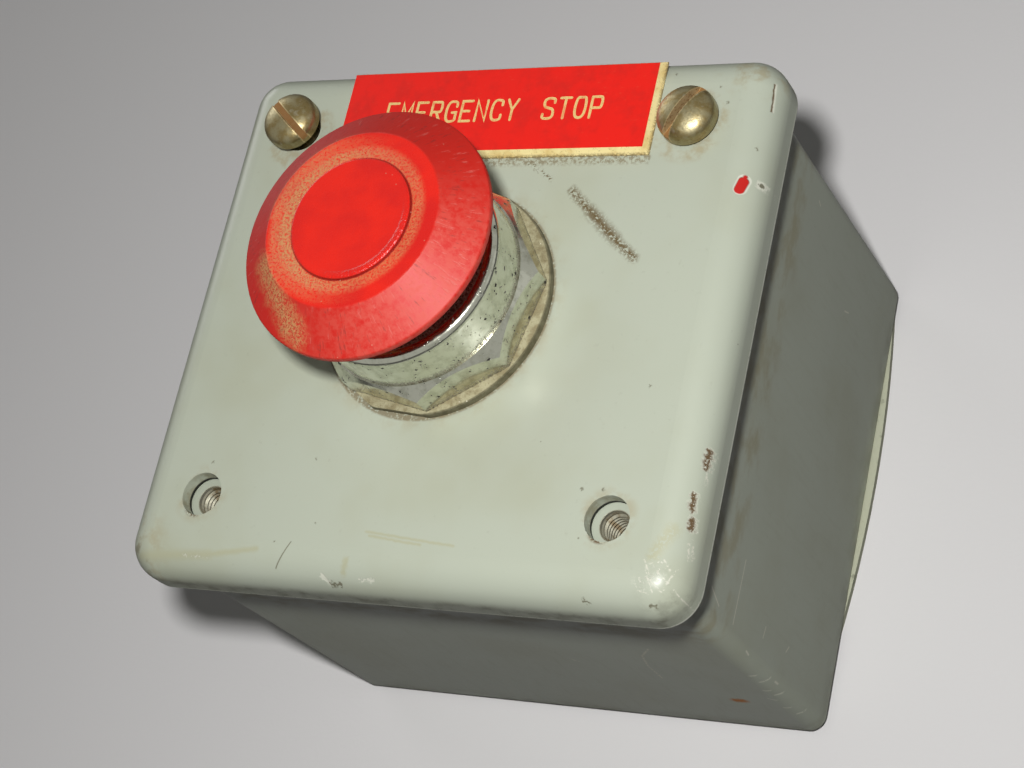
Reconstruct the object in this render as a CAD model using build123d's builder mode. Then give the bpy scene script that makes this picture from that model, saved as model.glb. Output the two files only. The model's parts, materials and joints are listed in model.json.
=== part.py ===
from build123d import *
import os
from math import atan2, cos, degrees, hypot, radians

os.makedirs("parts", exist_ok=True)

# Surface-mounted emergency-stop station, in millimetres.
# The box lies on its back: Z runs out of the front along the button, Y towards the label's edge
# and X to the right. The origin is the middle of the back face.

# ---------------------------------------------------------------- driving dimensions
# Enclosure
lid_width = 96.6
lid_height = 89.8
box_depth = 76.3  # back of the base gasket to the lid's face
lid_skirt = 9.2
lid_wall = 2.4
lid_top = 2.6
lid_corner_radius = 6.0
lid_edge_radius = 5.7
lid_rim_radius = 0.6
lid_overhang_side = 3.35  # lid past the body's left and right walls
lid_overhang_end = 3.75  # lid past the body's top and bottom walls
body_wall = 3.0
body_back = 3.0
body_corner_radius = 2.8
body_rear_radius = 0.8
base_gasket_thickness = 1.2
base_gasket_inset = 0.8  # inside the body's outline, all round
base_gasket_bow = 1.2  # how far it bellies out past the side walls
base_gasket_bow_low = 26.0  # the belly starts this far below the middle
lid_gasket_thickness = 0.6
lid_gasket_hole_radius = 4.6  # round a screw

# Screw posts in the corners and the lid's screws
screw_inset_side = 13.1  # from the lid's outline to a screw
screw_inset_top = 12.3
screw_inset_bottom = 13.0
post_radius = 6.0
post_reach = 12.0  # carries the post's outline out through the walls
lid_screw_radius = 2.4
lid_screw_length = 17.0
lid_screw_head_radius = 4.75
lid_screw_head_rim = 1.2
lid_screw_dome = 2.6
lid_screw_slot = 1.2
lid_screw_slot_depth = 2.2
lid_screw_angles = (-41.0, 60.0)  # slots, turned from the X axis
lid_screw_lifts = (2.6, 0.8)  # both are backed out a little, the left one more
lid_hole_radius = 3.55

# Openings in the body
fixing_spacing_x = 44.0
fixing_spacing_y = 60.0
fixing_hole_radius = 2.75
entry_radius = 9.2
entry_boss_radius = 14.0
entry_boss_depth = 3.0
entry_height = 27.0  # from the back face to the entry's axis

# Earth terminal on the back wall
earth_x = 34.0
earth_y = 0.0
earth_boss_radius = 5.5
earth_boss_height = 4.0
earth_screw_radius = 2.0
earth_screw_length = 6.0
earth_screw_head_radius = 3.9
earth_screw_head_height = 2.6
earth_washer_radius = 5.2
earth_washer_thickness = 1.0
earth_washer_lip = 1.4

# Label, with a bevelled edge
label_width = 56.6
label_height = 16.2
label_thickness = 1.5
label_straight = 0.3  # upright part of its edge, below the bevel
label_bevel = 0.8
label_shift = 1.2  # middle of the label, right of the box's middle
label_top_inset = 1.95  # from the lid's top outline to the label

# Operator: hand-drilled a little off the lid's middle. Heights are above the lid's face.
operator_x = -0.9
operator_y = 1.5
bushing_radius = 14.8
bushing_bore = 11.0
bushing_flange_reach = 4.7  # past the bushing
bushing_flange_thickness = 3.0
bushing_floor_thickness = 2.5
bushing_floor_depth = 14.5  # lid's face down to the floor's upper side
panel_hole_clearance = 0.45
panel_seal_reach = 4.2  # past the bushing
panel_seal_thickness = 1.5
trim_washer_margin = 0.5  # past the nut's corners
trim_washer_thickness = 1.2
trim_washer_flat_margin = 1.2  # past the nut's flats, at the two flats filed on its rim
trim_washer_flat_angles = (235.0, 264.0)
nut_sides = 8
nut_wall = 0.6  # outside the collar, at a flat
nut_turn = 10.0  # first corner, turned from the X axis
nut_flat_height = 3.4  # upright side at a corner
nut_height = 5.9
nut_shoulder = 0.25  # nut's upper rim past the collar
collar_wall = 2.1  # outside the bushing
collar_top = 14.9
collar_edge_radius = 1.3
collar_lip = 1.5
collar_lip_reach = 1.4  # over the bushing's end
wiper_clearance = 0.3
wiper_thickness = 1.6

# Mushroom head
head_radius = 20.2
head_rim_height = 23.9
head_step_radius = 14.2
head_step_height = 28.3
head_disc_radius = 9.8
head_disc_rise = 0.55
head_disc_round = 0.45
head_shell = 2.6
head_base_height = 22.0
head_base_radius = 19.3
head_hub_radius = 8.2
head_hub_height = 18.6
head_socket_depth = 8.0
head_socket_gap = 1.0  # above the plunger's stud

# Plunger, its circlip and its spring
plunger_top = 18.6
plunger_shoulder = 0.5  # the spring pushes on this shoulder
plunger_neck = 5.0
plunger_stud = 4.0
plunger_tail = 6.0  # below the bushing
circlip_thickness = 1.0
circlip_radius = 7.2
circlip_groove = 4.3
circlip_gap = 3.0
spring_wire = 1.3
spring_radius = 7.8
spring_turns = 6.0

# Contact block
block_width = 34.0
block_length = 46.0
block_chamber = 24.0  # length of the middle part that holds the moving contact
block_pocket_radius = 8.6
block_pocket_depth = 10.0
block_ledge_top = 7.0  # below the block's front
block_ledge_bottom = 16.0
block_channel = 11.0
block_screw_spacing = 25.6
block_screw_radius = 1.4
block_screw_bite = 6.0
block_screw_tip_gap = 1.0
block_screw_head_radius = 2.7
block_screw_head_height = 2.0
cover_thickness = 2.0
carrier_width = 9.4
carrier_height = 7.6
carrier_floor = 1.6
carrier_roof = 1.8
cover_peg = 1.2
contact_strip_width = 7.0
contact_strip_thickness = 1.2
contact_tip_radius = 2.2
contact_tip_height = 0.8
contact_tip_offset = 9.4
contact_strip_reach = 22.0
contact_strip_start = 6.6
bridge_reach = 11.8
contact_spring_radius = 2.2
contact_spring_wire = 0.5
contact_spring_turns = 5.0
carrier_spring_radius = 3.0
carrier_spring_wire = 0.5
carrier_spring_turns = 4.0
carrier_spring_length = 7.4
terminal_offset = 18.0
terminal_screw_radius = 1.7
terminal_screw_length = 7.0
terminal_screw_head_radius = 3.3
terminal_screw_head_height = 2.2
terminal_clamp_size = 7.6
terminal_clamp_thickness = 1.2
screw_slot_width = 0.9
screw_slot_depth = 1.0
slot_cut = 3.0  # length of a slot's cutter, in head radii

# Fits and clearances
thread_gap = 0.05  # between a screw and its tapped hole, on the radius
running_fit = 0.05  # sliding pieces, on the radius
face_gap = 0.1  # between parts that push on each other
block_gap = 0.3  # moving pieces past the block's walls
level_tolerance = 0.01

# ---------------------------------------------------------------- derived places
lid_rim_z = box_depth - lid_skirt
lid_under_z = box_depth - lid_top
rim_z = lid_under_z - lid_gasket_thickness
body_back_z = base_gasket_thickness
floor_z = body_back_z + body_back
body_width = lid_width - 2 * lid_overhang_side
body_height = lid_height - 2 * lid_overhang_end
gasket_width = body_width - 2 * base_gasket_inset
gasket_height = body_height - 2 * base_gasket_inset
lid_cavity_width = lid_width - 2 * lid_wall
lid_cavity_height = lid_height - 2 * lid_wall
lid_cavity_radius = lid_corner_radius - lid_wall
room_width = body_width - 2 * body_wall
room_height = body_height - 2 * body_wall
screw_x = lid_width / 2 - screw_inset_side
upper_screw_y = lid_height / 2 - screw_inset_top
lower_screw_y = screw_inset_bottom - lid_height / 2
upper_screw_points = [(-screw_x, upper_screw_y), (screw_x, upper_screw_y)]
lower_screw_points = [(-screw_x, lower_screw_y), (screw_x, lower_screw_y)]
screw_points = upper_screw_points + lower_screw_points
tapped_radius = lid_screw_radius + thread_gap

operator_axis = Axis((operator_x, operator_y, box_depth), (0, 0, 1))
operator_section = Plane(origin=(operator_x, operator_y, box_depth), x_dir=(1, 0, 0), z_dir=(0, -1, 0))


def operator_level(height):
    """The plane across the operator's axis at a height above the lid's face."""
    return Plane(origin=(operator_x, operator_y, box_depth + height))


def place(x, y, z):
    """The plane facing out of the front at a point of the box."""
    return Plane(origin=(x, y, z))


panel_hole_radius = bushing_radius + panel_hole_clearance
thread_bore = bushing_radius + thread_gap
bushing_flange_radius = bushing_radius + bushing_flange_reach
panel_seal_radius = bushing_radius + panel_seal_reach
collar_radius = bushing_radius + collar_wall
collar_lip_bore = bushing_radius - collar_lip_reach
wiper_bore = bushing_bore + wiper_clearance
nut_flat_radius = collar_radius + nut_wall
trim_washer_flat = nut_flat_radius + trim_washer_flat_margin
nut_corner_radius = nut_flat_radius / cos(radians(180 / nut_sides))
nut_base = trim_washer_thickness
nut_top = nut_base + nut_height
trim_washer_radius = nut_corner_radius + trim_washer_margin
collar_lip_base = collar_top - collar_lip
bushing_top = collar_lip_base - wiper_thickness
flange_top = -lid_top - panel_seal_thickness
flange_base = flange_top - bushing_flange_thickness
bushing_end = -bushing_floor_depth - bushing_floor_thickness
plunger_radius = bushing_bore - running_fit
plunger_stud_top = head_hub_height + head_socket_depth - head_socket_gap
plunger_end = bushing_end - plunger_tail
clip_top = bushing_end - face_gap
clip_groove_radius = circlip_groove + thread_gap
block_front = bushing_end
pocket_floor = block_front - block_pocket_depth
ledge_top = block_front - block_ledge_top
ledge_bottom = block_front - block_ledge_bottom
strip_bottom = ledge_bottom - contact_strip_thickness
fixed_tip_bottom = strip_bottom - contact_tip_height
moving_tip_bottom = fixed_tip_bottom - contact_tip_height
bridge_bottom = moving_tip_bottom - contact_strip_thickness
window_top = moving_tip_bottom + face_gap
window_bottom = window_top - carrier_height
cage_top = window_top + carrier_roof
carrier_bottom = window_bottom - carrier_floor
carrier_top = plunger_end - face_gap
block_rear = carrier_bottom - carrier_spring_length
cover_rear = block_rear - cover_thickness
clamp_top = strip_bottom
clamp_bottom = clamp_top - terminal_clamp_thickness

flank_rise = head_step_height - head_rim_height
flank_run = head_radius - head_step_radius
flank_slope = flank_run / flank_rise
flank_inset = head_shell * hypot(flank_run, flank_rise) / flank_rise


def under_flank(height):
    """Radius of the head's inner flank, a shell's thickness inside the outer one."""
    return head_radius - flank_slope * (height - head_rim_height) - flank_inset


# ---------------------------------------------------------------- enclosure
with BuildPart() as base_gasket:
    with BuildSketch(Plane.XY):
        RectangleRounded(gasket_width, gasket_height, body_corner_radius)
        for side in (-1, 1):
            edge_x = side * gasket_width / 2
            with BuildLine():
                bow_top = (edge_x, gasket_height / 2 - body_corner_radius)
                bow_low = (edge_x, -base_gasket_bow_low)
                bow_middle = (side * (body_width / 2 + base_gasket_bow), (bow_top[1] + bow_low[1]) / 2)
                ThreePointArc(bow_top, bow_middle, bow_low)
                Line(bow_low, bow_top)
            make_face()
        with GridLocations(fixing_spacing_x, fixing_spacing_y, 2, 2):
            Circle(fixing_hole_radius, mode=Mode.SUBTRACT)
    extrude(amount=base_gasket_thickness)
base_gasket.part.label = "base_gasket"
export_step(base_gasket.part, "parts/base_gasket.step")

# A post stands in each corner of the box, with its inner corner rounded about the screw
with BuildSketch() as post_outlines:
    for x, y in screw_points:
        toward_x = Align.MIN if x > 0 else Align.MAX
        toward_y = Align.MIN if y > 0 else Align.MAX
        with Locations((x, y)):
            Circle(post_radius)
            Rectangle(post_reach, post_radius, align=(toward_x, Align.CENTER))
            Rectangle(post_radius, post_reach, align=(Align.CENTER, toward_y))
            Rectangle(post_reach, post_reach, align=(toward_x, toward_y))
    Rectangle(room_width, room_height, mode=Mode.INTERSECT)

entry_outside = Plane(origin=(0, body_height / 2, entry_height), x_dir=(1, 0, 0), z_dir=(0, -1, 0))

with BuildPart() as shell:
    with BuildSketch(Plane.XY.offset(body_back_z)):
        RectangleRounded(body_width, body_height, body_corner_radius)
    extrude(amount=rim_z - body_back_z)
    fillet(shell.faces().sort_by(Axis.Z)[0].edges(), radius=body_rear_radius)
    with BuildSketch(Plane.XY.offset(floor_z)):
        Rectangle(room_width, room_height)
    extrude(amount=rim_z - floor_z, mode=Mode.SUBTRACT)

# The shell is a folded tray with a plate welded on for its upper wall
weld_plane = Plane(origin=(0, room_height / 2, 0), z_dir=(0, 1, 0))

with BuildPart() as enclosure_body:
    add(shell.part)
    split(bisect_by=weld_plane, keep=Keep.BOTTOM)
    # Boss of the earth terminal, on the back wall
    with BuildSketch(place(earth_x, earth_y, floor_z)):
        Circle(earth_boss_radius)
    extrude(amount=earth_boss_height)
    with BuildSketch(place(earth_x, earth_y, floor_z + earth_boss_height)):
        Circle(earth_screw_radius + thread_gap)
    extrude(amount=-earth_screw_length, mode=Mode.SUBTRACT)
    with BuildSketch(Plane.XY.offset(body_back_z)):
        with GridLocations(fixing_spacing_x, fixing_spacing_y, 2, 2):
            Circle(fixing_hole_radius)
    extrude(amount=body_back, mode=Mode.SUBTRACT)
enclosure_body.part.label = "enclosure_body"
export_step(enclosure_body.part, "parts/enclosure_body.step")

with BuildPart() as entry_wall:
    add(shell.part)
    split(bisect_by=weld_plane, keep=Keep.TOP)
    # Boss round the conduit entry, standing in from the wall
    with BuildSketch(entry_outside.offset(body_wall)):
        Circle(entry_boss_radius)
    extrude(amount=entry_boss_depth)
    with BuildSketch(entry_outside):
        Circle(entry_radius)
    extrude(amount=body_wall + entry_boss_depth, mode=Mode.SUBTRACT)
entry_wall.part.label = "entry_wall"
export_step(entry_wall.part, "parts/entry_wall.step")

with BuildPart() as lid_posts:
    with BuildSketch(Plane.XY.offset(floor_z)):
        add(post_outlines.sketch)
    extrude(amount=rim_z - floor_z)
    with BuildSketch(Plane.XY.offset(rim_z)):
        with Locations(*screw_points):
            Circle(tapped_radius)
    extrude(amount=-lid_screw_length, mode=Mode.SUBTRACT)
lid_posts.part.label = "lid_posts"
export_step(lid_posts.part, "parts/lid_posts.step")

with BuildPart() as lid_gasket:
    with BuildSketch(Plane.XY.offset(rim_z)):
        RectangleRounded(body_width, body_height, body_corner_radius)
        Rectangle(room_width, room_height, mode=Mode.SUBTRACT)
        add(post_outlines.sketch)
        with Locations(*screw_points):
            Circle(lid_gasket_hole_radius, mode=Mode.SUBTRACT)
    extrude(amount=lid_gasket_thickness)
lid_gasket.part.label = "lid_gasket"
export_step(lid_gasket.part, "parts/lid_gasket.step")

with BuildPart() as lid:
    with BuildSketch(Plane.XY.offset(lid_rim_z)):
        RectangleRounded(lid_width, lid_height, lid_corner_radius)
    extrude(amount=lid_skirt)
    fillet(lid.faces().sort_by(Axis.Z)[-1].edges(), radius=lid_edge_radius)
    fillet(lid.faces().sort_by(Axis.Z)[0].edges(), radius=lid_rim_radius)
    with BuildSketch(Plane.XY.offset(lid_rim_z)):
        RectangleRounded(lid_cavity_width, lid_cavity_height, lid_cavity_radius)
    extrude(amount=lid_skirt - lid_top, mode=Mode.SUBTRACT)
    with BuildSketch(Plane.XY.offset(lid_under_z)):
        with Locations(*screw_points):
            Circle(lid_hole_radius)
        with Locations((operator_x, operator_y)):
            Circle(panel_hole_radius)
    extrude(amount=lid_top, mode=Mode.SUBTRACT)
lid.part.label = "lid"
export_step(lid.part, "parts/lid.step")

screw_crown = lid_screw_head_rim + lid_screw_dome
with BuildPart() as lid_screws:
    for (x, y), angle, lift in zip(upper_screw_points, lid_screw_angles, lid_screw_lifts):
        seat = box_depth + lift
        with BuildSketch(Plane(origin=(x, y, seat), x_dir=(1, 0, 0), z_dir=(0, -1, 0))):
            with BuildLine():
                Polyline(
                    (0, screw_crown),
                    (0, -lid_screw_length),
                    (lid_screw_radius, -lid_screw_length),
                    (lid_screw_radius, 0),
                    (lid_screw_head_radius, 0),
                    (lid_screw_head_radius, lid_screw_head_rim),
                )
                EllipticalCenterArc((0, lid_screw_head_rim), lid_screw_head_radius, lid_screw_dome,
                                    start_angle=0, arc_size=90)
            make_face()
        revolve(axis=Axis((x, y, seat), (0, 0, 1)))
        with BuildSketch(Plane(origin=(x, y, seat + screw_crown)).rotated((0, 0, angle))):
            Rectangle(slot_cut * lid_screw_head_radius, lid_screw_slot)
        extrude(amount=-lid_screw_slot_depth, mode=Mode.SUBTRACT)
lid_screws.part.label = "lid_screws"
export_step(lid_screws.part, "parts/lid_screws.step")

label_x = label_shift
label_y = lid_height / 2 - label_top_inset - label_height / 2
bevel_angle = degrees(atan2(label_bevel, label_thickness - label_straight))
with BuildPart() as label_plate:
    with BuildSketch(place(label_x, label_y, box_depth)):
        Rectangle(label_width, label_height)
    extrude(amount=label_straight)
    with BuildSketch(place(label_x, label_y, box_depth + label_straight)):
        Rectangle(label_width, label_height)
    extrude(amount=label_thickness - label_straight, taper=bevel_angle)
label_plate.part.label = "label_plate"
export_step(label_plate.part, "parts/label_plate.step")

earth_top = floor_z + earth_boss_height
with BuildPart() as earth_washer:
    with BuildSketch(place(earth_x, earth_y, earth_top)):
        Circle(earth_washer_radius)
        Circle(earth_screw_radius + thread_gap, mode=Mode.SUBTRACT)
    extrude(amount=earth_washer_thickness)
    with BuildSketch(place(earth_x, earth_y, earth_top + earth_washer_thickness)):
        Circle(earth_washer_radius)
        Circle(earth_washer_radius - earth_washer_thickness, mode=Mode.SUBTRACT)
    extrude(amount=earth_washer_lip)
earth_washer.part.label = "earth_washer"
export_step(earth_washer.part, "parts/earth_washer.step")

with BuildPart() as earth_screw:
    with BuildSketch(place(earth_x, earth_y, earth_top + earth_washer_thickness)):
        Circle(earth_screw_head_radius)
    extrude(amount=earth_screw_head_height)
    with BuildSketch(place(earth_x, earth_y, earth_top + earth_washer_thickness)):
        Circle(earth_screw_radius)
    extrude(amount=-earth_screw_length)
    head_top = place(earth_x, earth_y, earth_top + earth_washer_thickness + earth_screw_head_height)
    with BuildSketch(head_top):
        Rectangle(slot_cut * earth_screw_head_radius, screw_slot_width)
    extrude(amount=-screw_slot_depth, mode=Mode.SUBTRACT)
earth_screw.part.label = "earth_screw"
export_step(earth_screw.part, "parts/earth_screw.step")

# ---------------------------------------------------------------- operator, from the lid outwards
with BuildPart() as trim_washer:
    with BuildSketch(operator_level(0)):
        Circle(trim_washer_radius)
        Circle(panel_hole_radius, mode=Mode.SUBTRACT)
        for angle in trim_washer_flat_angles:
            with PolarLocations(trim_washer_flat, 1, start_angle=angle):
                Rectangle(trim_washer_radius, 2 * trim_washer_radius,
                          align=(Align.MIN, Align.CENTER), mode=Mode.SUBTRACT)
    extrude(amount=trim_washer_thickness)
trim_washer.part.label = "trim_washer"
export_step(trim_washer.part, "parts/trim_washer.step")

with BuildPart() as ring_nut:
    with BuildSketch(operator_level(nut_base)):
        RegularPolygon(nut_corner_radius, 8, rotation=nut_turn)
    extrude(amount=nut_height)
    # The tool that turns the top leaves a cone across the octagon's corners
    with BuildSketch(operator_section):
        with BuildLine():
            Polyline(
                (thread_bore, nut_base),
                (nut_corner_radius, nut_base),
                (nut_corner_radius, nut_base + nut_flat_height),
                (collar_radius + nut_shoulder, nut_top),
                (thread_bore, nut_top),
                close=True,
            )
        make_face()
    revolve(axis=operator_axis, mode=Mode.INTERSECT)
ring_nut.part.label = "ring_nut"
export_step(ring_nut.part, "parts/ring_nut.step")

with BuildPart() as bezel_collar:
    with BuildSketch(operator_section):
        with BuildLine():
            Polyline(
                (thread_bore, nut_top),
                (collar_radius, nut_top),
                (collar_radius, collar_top),
                (collar_lip_bore, collar_top),
                (collar_lip_bore, collar_lip_base),
                (thread_bore, collar_lip_base),
                close=True,
            )
        make_face()
    revolve(axis=operator_axis)
    top_edges = bezel_collar.faces().sort_by(Axis.Z)[-1].edges().sort_by(SortBy.RADIUS)
    fillet(top_edges[-1], radius=collar_edge_radius)
bezel_collar.part.label = "bezel_collar"
export_step(bezel_collar.part, "parts/bezel_collar.step")

with BuildPart() as wiper_seal:
    with BuildSketch(operator_level(bushing_top)):
        Circle(bushing_radius)
        Circle(wiper_bore, mode=Mode.SUBTRACT)
    extrude(amount=wiper_thickness)
wiper_seal.part.label = "wiper_seal"
export_step(wiper_seal.part, "parts/wiper_seal.step")

with BuildPart() as panel_seal:
    with BuildSketch(operator_level(flange_top)):
        Circle(panel_seal_radius)
        Circle(panel_hole_radius, mode=Mode.SUBTRACT)
    extrude(amount=panel_seal_thickness)
panel_seal.part.label = "panel_seal"
export_step(panel_seal.part, "parts/panel_seal.step")

with BuildPart() as operator_bushing:
    with BuildSketch(operator_section):
        with BuildLine():
            Polyline(
                (plunger_neck + running_fit, bushing_end),
                (bushing_radius, bushing_end),
                (bushing_radius, flange_base),
                (bushing_flange_radius, flange_base),
                (bushing_flange_radius, flange_top),
                (bushing_radius, flange_top),
                (bushing_radius, bushing_top),
                (bushing_bore, bushing_top),
                (bushing_bore, -bushing_floor_depth),
                (plunger_neck + running_fit, -bushing_floor_depth),
                close=True,
            )
        make_face()
    revolve(axis=operator_axis)
    with BuildSketch(operator_level(bushing_end)):
        with GridLocations(block_screw_spacing, 0, 2, 1):
            Circle(block_screw_radius + thread_gap)
    extrude(amount=block_screw_bite + block_screw_tip_gap, mode=Mode.SUBTRACT)
operator_bushing.part.label = "operator_bushing"
export_step(operator_bushing.part, "parts/operator_bushing.step")

# ---------------------------------------------------------------- button
with BuildPart() as mushroom_head:
    head_ceiling = head_step_height - head_shell
    disc_height = head_step_height + head_disc_rise
    with BuildSketch(operator_section):
        with BuildLine():
            Polyline(
                (plunger_stud + thread_gap, head_hub_height),
                (head_hub_radius, head_hub_height),
                (head_hub_radius, head_ceiling),
                (under_flank(head_ceiling), head_ceiling),
                (under_flank(head_base_height), head_base_height),
                (head_base_radius, head_base_height),
                (head_radius, (head_base_height + head_rim_height) / 2),
                (head_radius, head_rim_height),
                (head_step_radius, head_step_height),
                (head_disc_radius, head_step_height),
                (head_disc_radius, disc_height),
                (0, disc_height),
                (0, head_hub_height + head_socket_depth),
                (plunger_stud + thread_gap, head_hub_height + head_socket_depth),
                close=True,
            )
        make_face()
    revolve(axis=operator_axis)
    rim_edge, step_edge, disc_edge = [
        mushroom_head.edges()
        .filter_by_position(Axis.Z, box_depth + height - level_tolerance, box_depth + height + level_tolerance)
        .sort_by(SortBy.RADIUS)[-1]
        for height in (head_rim_height, head_step_height, disc_height)
    ]
    fillet([rim_edge, step_edge, disc_edge], radius=head_disc_round)
mushroom_head.part.label = "mushroom_head"
export_step(mushroom_head.part, "parts/mushroom_head.step")

with BuildPart() as plunger:
    with BuildSketch(operator_section):
        with BuildLine():
            Polyline(
                (0, plunger_end),
                (plunger_neck, plunger_end),
                (plunger_neck, clip_top - circlip_thickness),
                (circlip_groove, clip_top - circlip_thickness),
                (circlip_groove, clip_top),
                (plunger_neck, clip_top),
                (plunger_neck, plunger_shoulder),
                (plunger_radius, plunger_shoulder),
                (plunger_radius, plunger_top),
                (plunger_stud, plunger_top),
                (plunger_stud, plunger_stud_top),
                (0, plunger_stud_top),
                close=True,
            )
        make_face()
    revolve(axis=operator_axis)
plunger.part.label = "plunger"
export_step(plunger.part, "parts/plunger.step")

with BuildPart() as circlip:
    with BuildSketch(operator_level(clip_top)):
        Circle(circlip_radius)
        Circle(clip_groove_radius, mode=Mode.SUBTRACT)
        with Locations((0, -circlip_radius)):
            Rectangle(circlip_gap, 2 * circlip_radius, mode=Mode.SUBTRACT)
    extrude(amount=-circlip_thickness)
circlip.part.label = "circlip"
export_step(circlip.part, "parts/circlip.step")


def coil(radius, wire, turns, base, length):
    """A compression spring about the operator's axis, from a base height upwards."""
    rise = length - wire
    start = Vector(operator_x + radius, operator_y, box_depth + base + wire / 2)
    path = Helix(pitch=rise / turns, height=rise, radius=radius,
                 center=(operator_x, operator_y, box_depth + base + wire / 2), mode=Mode.PRIVATE)
    with BuildPart() as spring:
        with BuildLine():
            add(path)
        with BuildSketch(Plane(origin=start, z_dir=path % 0)):
            Circle(wire / 2)
        sweep(is_frenet=True)
    return spring.part


return_spring = coil(spring_radius, spring_wire, spring_turns,
                     -bushing_floor_depth, bushing_floor_depth + plunger_shoulder)
return_spring.label = "return_spring"
export_step(return_spring, "parts/return_spring.step")

# ---------------------------------------------------------------- contact block
screw_pattern = [(side * block_screw_spacing / 2, 0) for side in (-1, 1)]
with BuildPart() as contact_housing:
    with BuildSketch(operator_level(block_front)):
        Rectangle(block_width, block_chamber)
    extrude(amount=block_rear - block_front)
    with BuildSketch(operator_level(ledge_top)):
        Rectangle(block_width, block_length)
    extrude(amount=ledge_bottom - ledge_top)
    with BuildSketch(operator_level(block_front)):
        Circle(block_pocket_radius)
    extrude(amount=-block_pocket_depth, mode=Mode.SUBTRACT)
    with BuildSketch(operator_level(pocket_floor)):
        Circle(plunger_neck + running_fit)
    extrude(amount=ledge_bottom - pocket_floor, mode=Mode.SUBTRACT)
    with BuildSketch(operator_level(ledge_bottom)):
        Rectangle(block_channel, block_chamber)
    extrude(amount=block_rear - ledge_bottom, mode=Mode.SUBTRACT)
    with BuildSketch(operator_level(block_front)):
        with Locations(*screw_pattern):
            Circle(block_screw_radius + block_gap)
    extrude(amount=block_rear - block_front, mode=Mode.SUBTRACT)
    with BuildSketch(operator_level(ledge_bottom)):
        with GridLocations(0, 2 * terminal_offset, 1, 2):
            Circle(terminal_screw_radius + thread_gap)
    extrude(amount=terminal_screw_length, mode=Mode.SUBTRACT)
contact_housing.part.label = "contact_housing"
export_step(contact_housing.part, "parts/contact_housing.step")

with BuildPart() as contact_cover:
    with BuildSketch(operator_level(block_rear)):
        Rectangle(block_width, block_chamber)
        with Locations(*screw_pattern):
            Circle(block_screw_radius + block_gap, mode=Mode.SUBTRACT)
    extrude(amount=-cover_thickness)
    # Peg that keeps the carrier's spring in place
    with BuildSketch(operator_level(block_rear)):
        Circle(carrier_spring_radius - carrier_spring_wire - block_gap)
    extrude(amount=cover_peg)
contact_cover.part.label = "contact_cover"
export_step(contact_cover.part, "parts/contact_cover.step")

with BuildPart() as contact_carrier:
    with BuildSketch(operator_level(carrier_top)):
        Circle(plunger_neck)
    extrude(amount=cage_top - carrier_top)
    with BuildSketch(operator_level(cage_top)):
        Rectangle(carrier_width, carrier_width)
    extrude(amount=carrier_bottom - cage_top)
    with BuildSketch(operator_level(window_top)):
        Rectangle(contact_strip_width + 2 * face_gap, 2 * carrier_width)
    extrude(amount=window_bottom - window_top, mode=Mode.SUBTRACT)
contact_carrier.part.label = "contact_carrier"
export_step(contact_carrier.part, "parts/contact_carrier.step")

with BuildPart() as contact_bridge:
    with BuildSketch(operator_level(moving_tip_bottom)):
        Rectangle(contact_strip_width, 2 * bridge_reach)
    extrude(amount=-contact_strip_thickness)
    with BuildSketch(operator_level(moving_tip_bottom)):
        with GridLocations(0, 2 * contact_tip_offset, 1, 2):
            Circle(contact_tip_radius)
    extrude(amount=contact_tip_height)
contact_bridge.part.label = "contact_bridge"
export_step(contact_bridge.part, "parts/contact_bridge.step")

contact_spring = coil(contact_spring_radius, contact_spring_wire, contact_spring_turns,
                      window_bottom, bridge_bottom - window_bottom)
contact_spring.label = "contact_spring"
export_step(contact_spring, "parts/contact_spring.step")

carrier_spring = coil(carrier_spring_radius, carrier_spring_wire, carrier_spring_turns,
                      block_rear, carrier_spring_length)
carrier_spring.label = "carrier_spring"
export_step(carrier_spring, "parts/carrier_spring.step")


def fixed_contact(side):
    """One fixed contact: a strip under the block's ledge, with its tip over the bridge."""
    middle = side * (contact_strip_start + contact_strip_reach) / 2
    with BuildPart() as contact:
        with BuildSketch(operator_level(ledge_bottom)):
            with Locations((0, middle)):
                Rectangle(contact_strip_width, contact_strip_reach - contact_strip_start)
            with Locations((0, side * terminal_offset)):
                Circle(terminal_screw_radius + thread_gap, mode=Mode.SUBTRACT)
        extrude(amount=-contact_strip_thickness)
        with BuildSketch(operator_level(strip_bottom)):
            with Locations((0, side * contact_tip_offset)):
                Circle(contact_tip_radius)
        extrude(amount=-contact_tip_height)
    return contact.part


for name, side in (("fixed_contact_upper", 1), ("fixed_contact_lower", -1)):
    contact = fixed_contact(side)
    contact.label = name
    export_step(contact, f"parts/{name}.step")

with BuildPart() as terminal_clamps:
    with BuildSketch(operator_level(clamp_top)):
        with GridLocations(0, 2 * terminal_offset, 1, 2):
            Rectangle(terminal_clamp_size, terminal_clamp_size)
            Circle(terminal_screw_radius + thread_gap, mode=Mode.SUBTRACT)
    extrude(amount=-terminal_clamp_thickness)
terminal_clamps.part.label = "terminal_clamps"
export_step(terminal_clamps.part, "parts/terminal_clamps.step")

with BuildPart() as terminal_screws:
    with BuildSketch(operator_level(clamp_bottom)):
        with GridLocations(0, 2 * terminal_offset, 1, 2):
            Circle(terminal_screw_radius)
    extrude(amount=terminal_screw_length)
    with BuildSketch(operator_level(clamp_bottom)):
        with GridLocations(0, 2 * terminal_offset, 1, 2):
            Circle(terminal_screw_head_radius)
    extrude(amount=-terminal_screw_head_height)
    with BuildSketch(operator_level(clamp_bottom - terminal_screw_head_height)):
        with GridLocations(0, 2 * terminal_offset, 1, 2):
            Rectangle(slot_cut * terminal_screw_head_radius, screw_slot_width)
    extrude(amount=screw_slot_depth, mode=Mode.SUBTRACT)
terminal_screws.part.label = "terminal_screws"
export_step(terminal_screws.part, "parts/terminal_screws.step")

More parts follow.
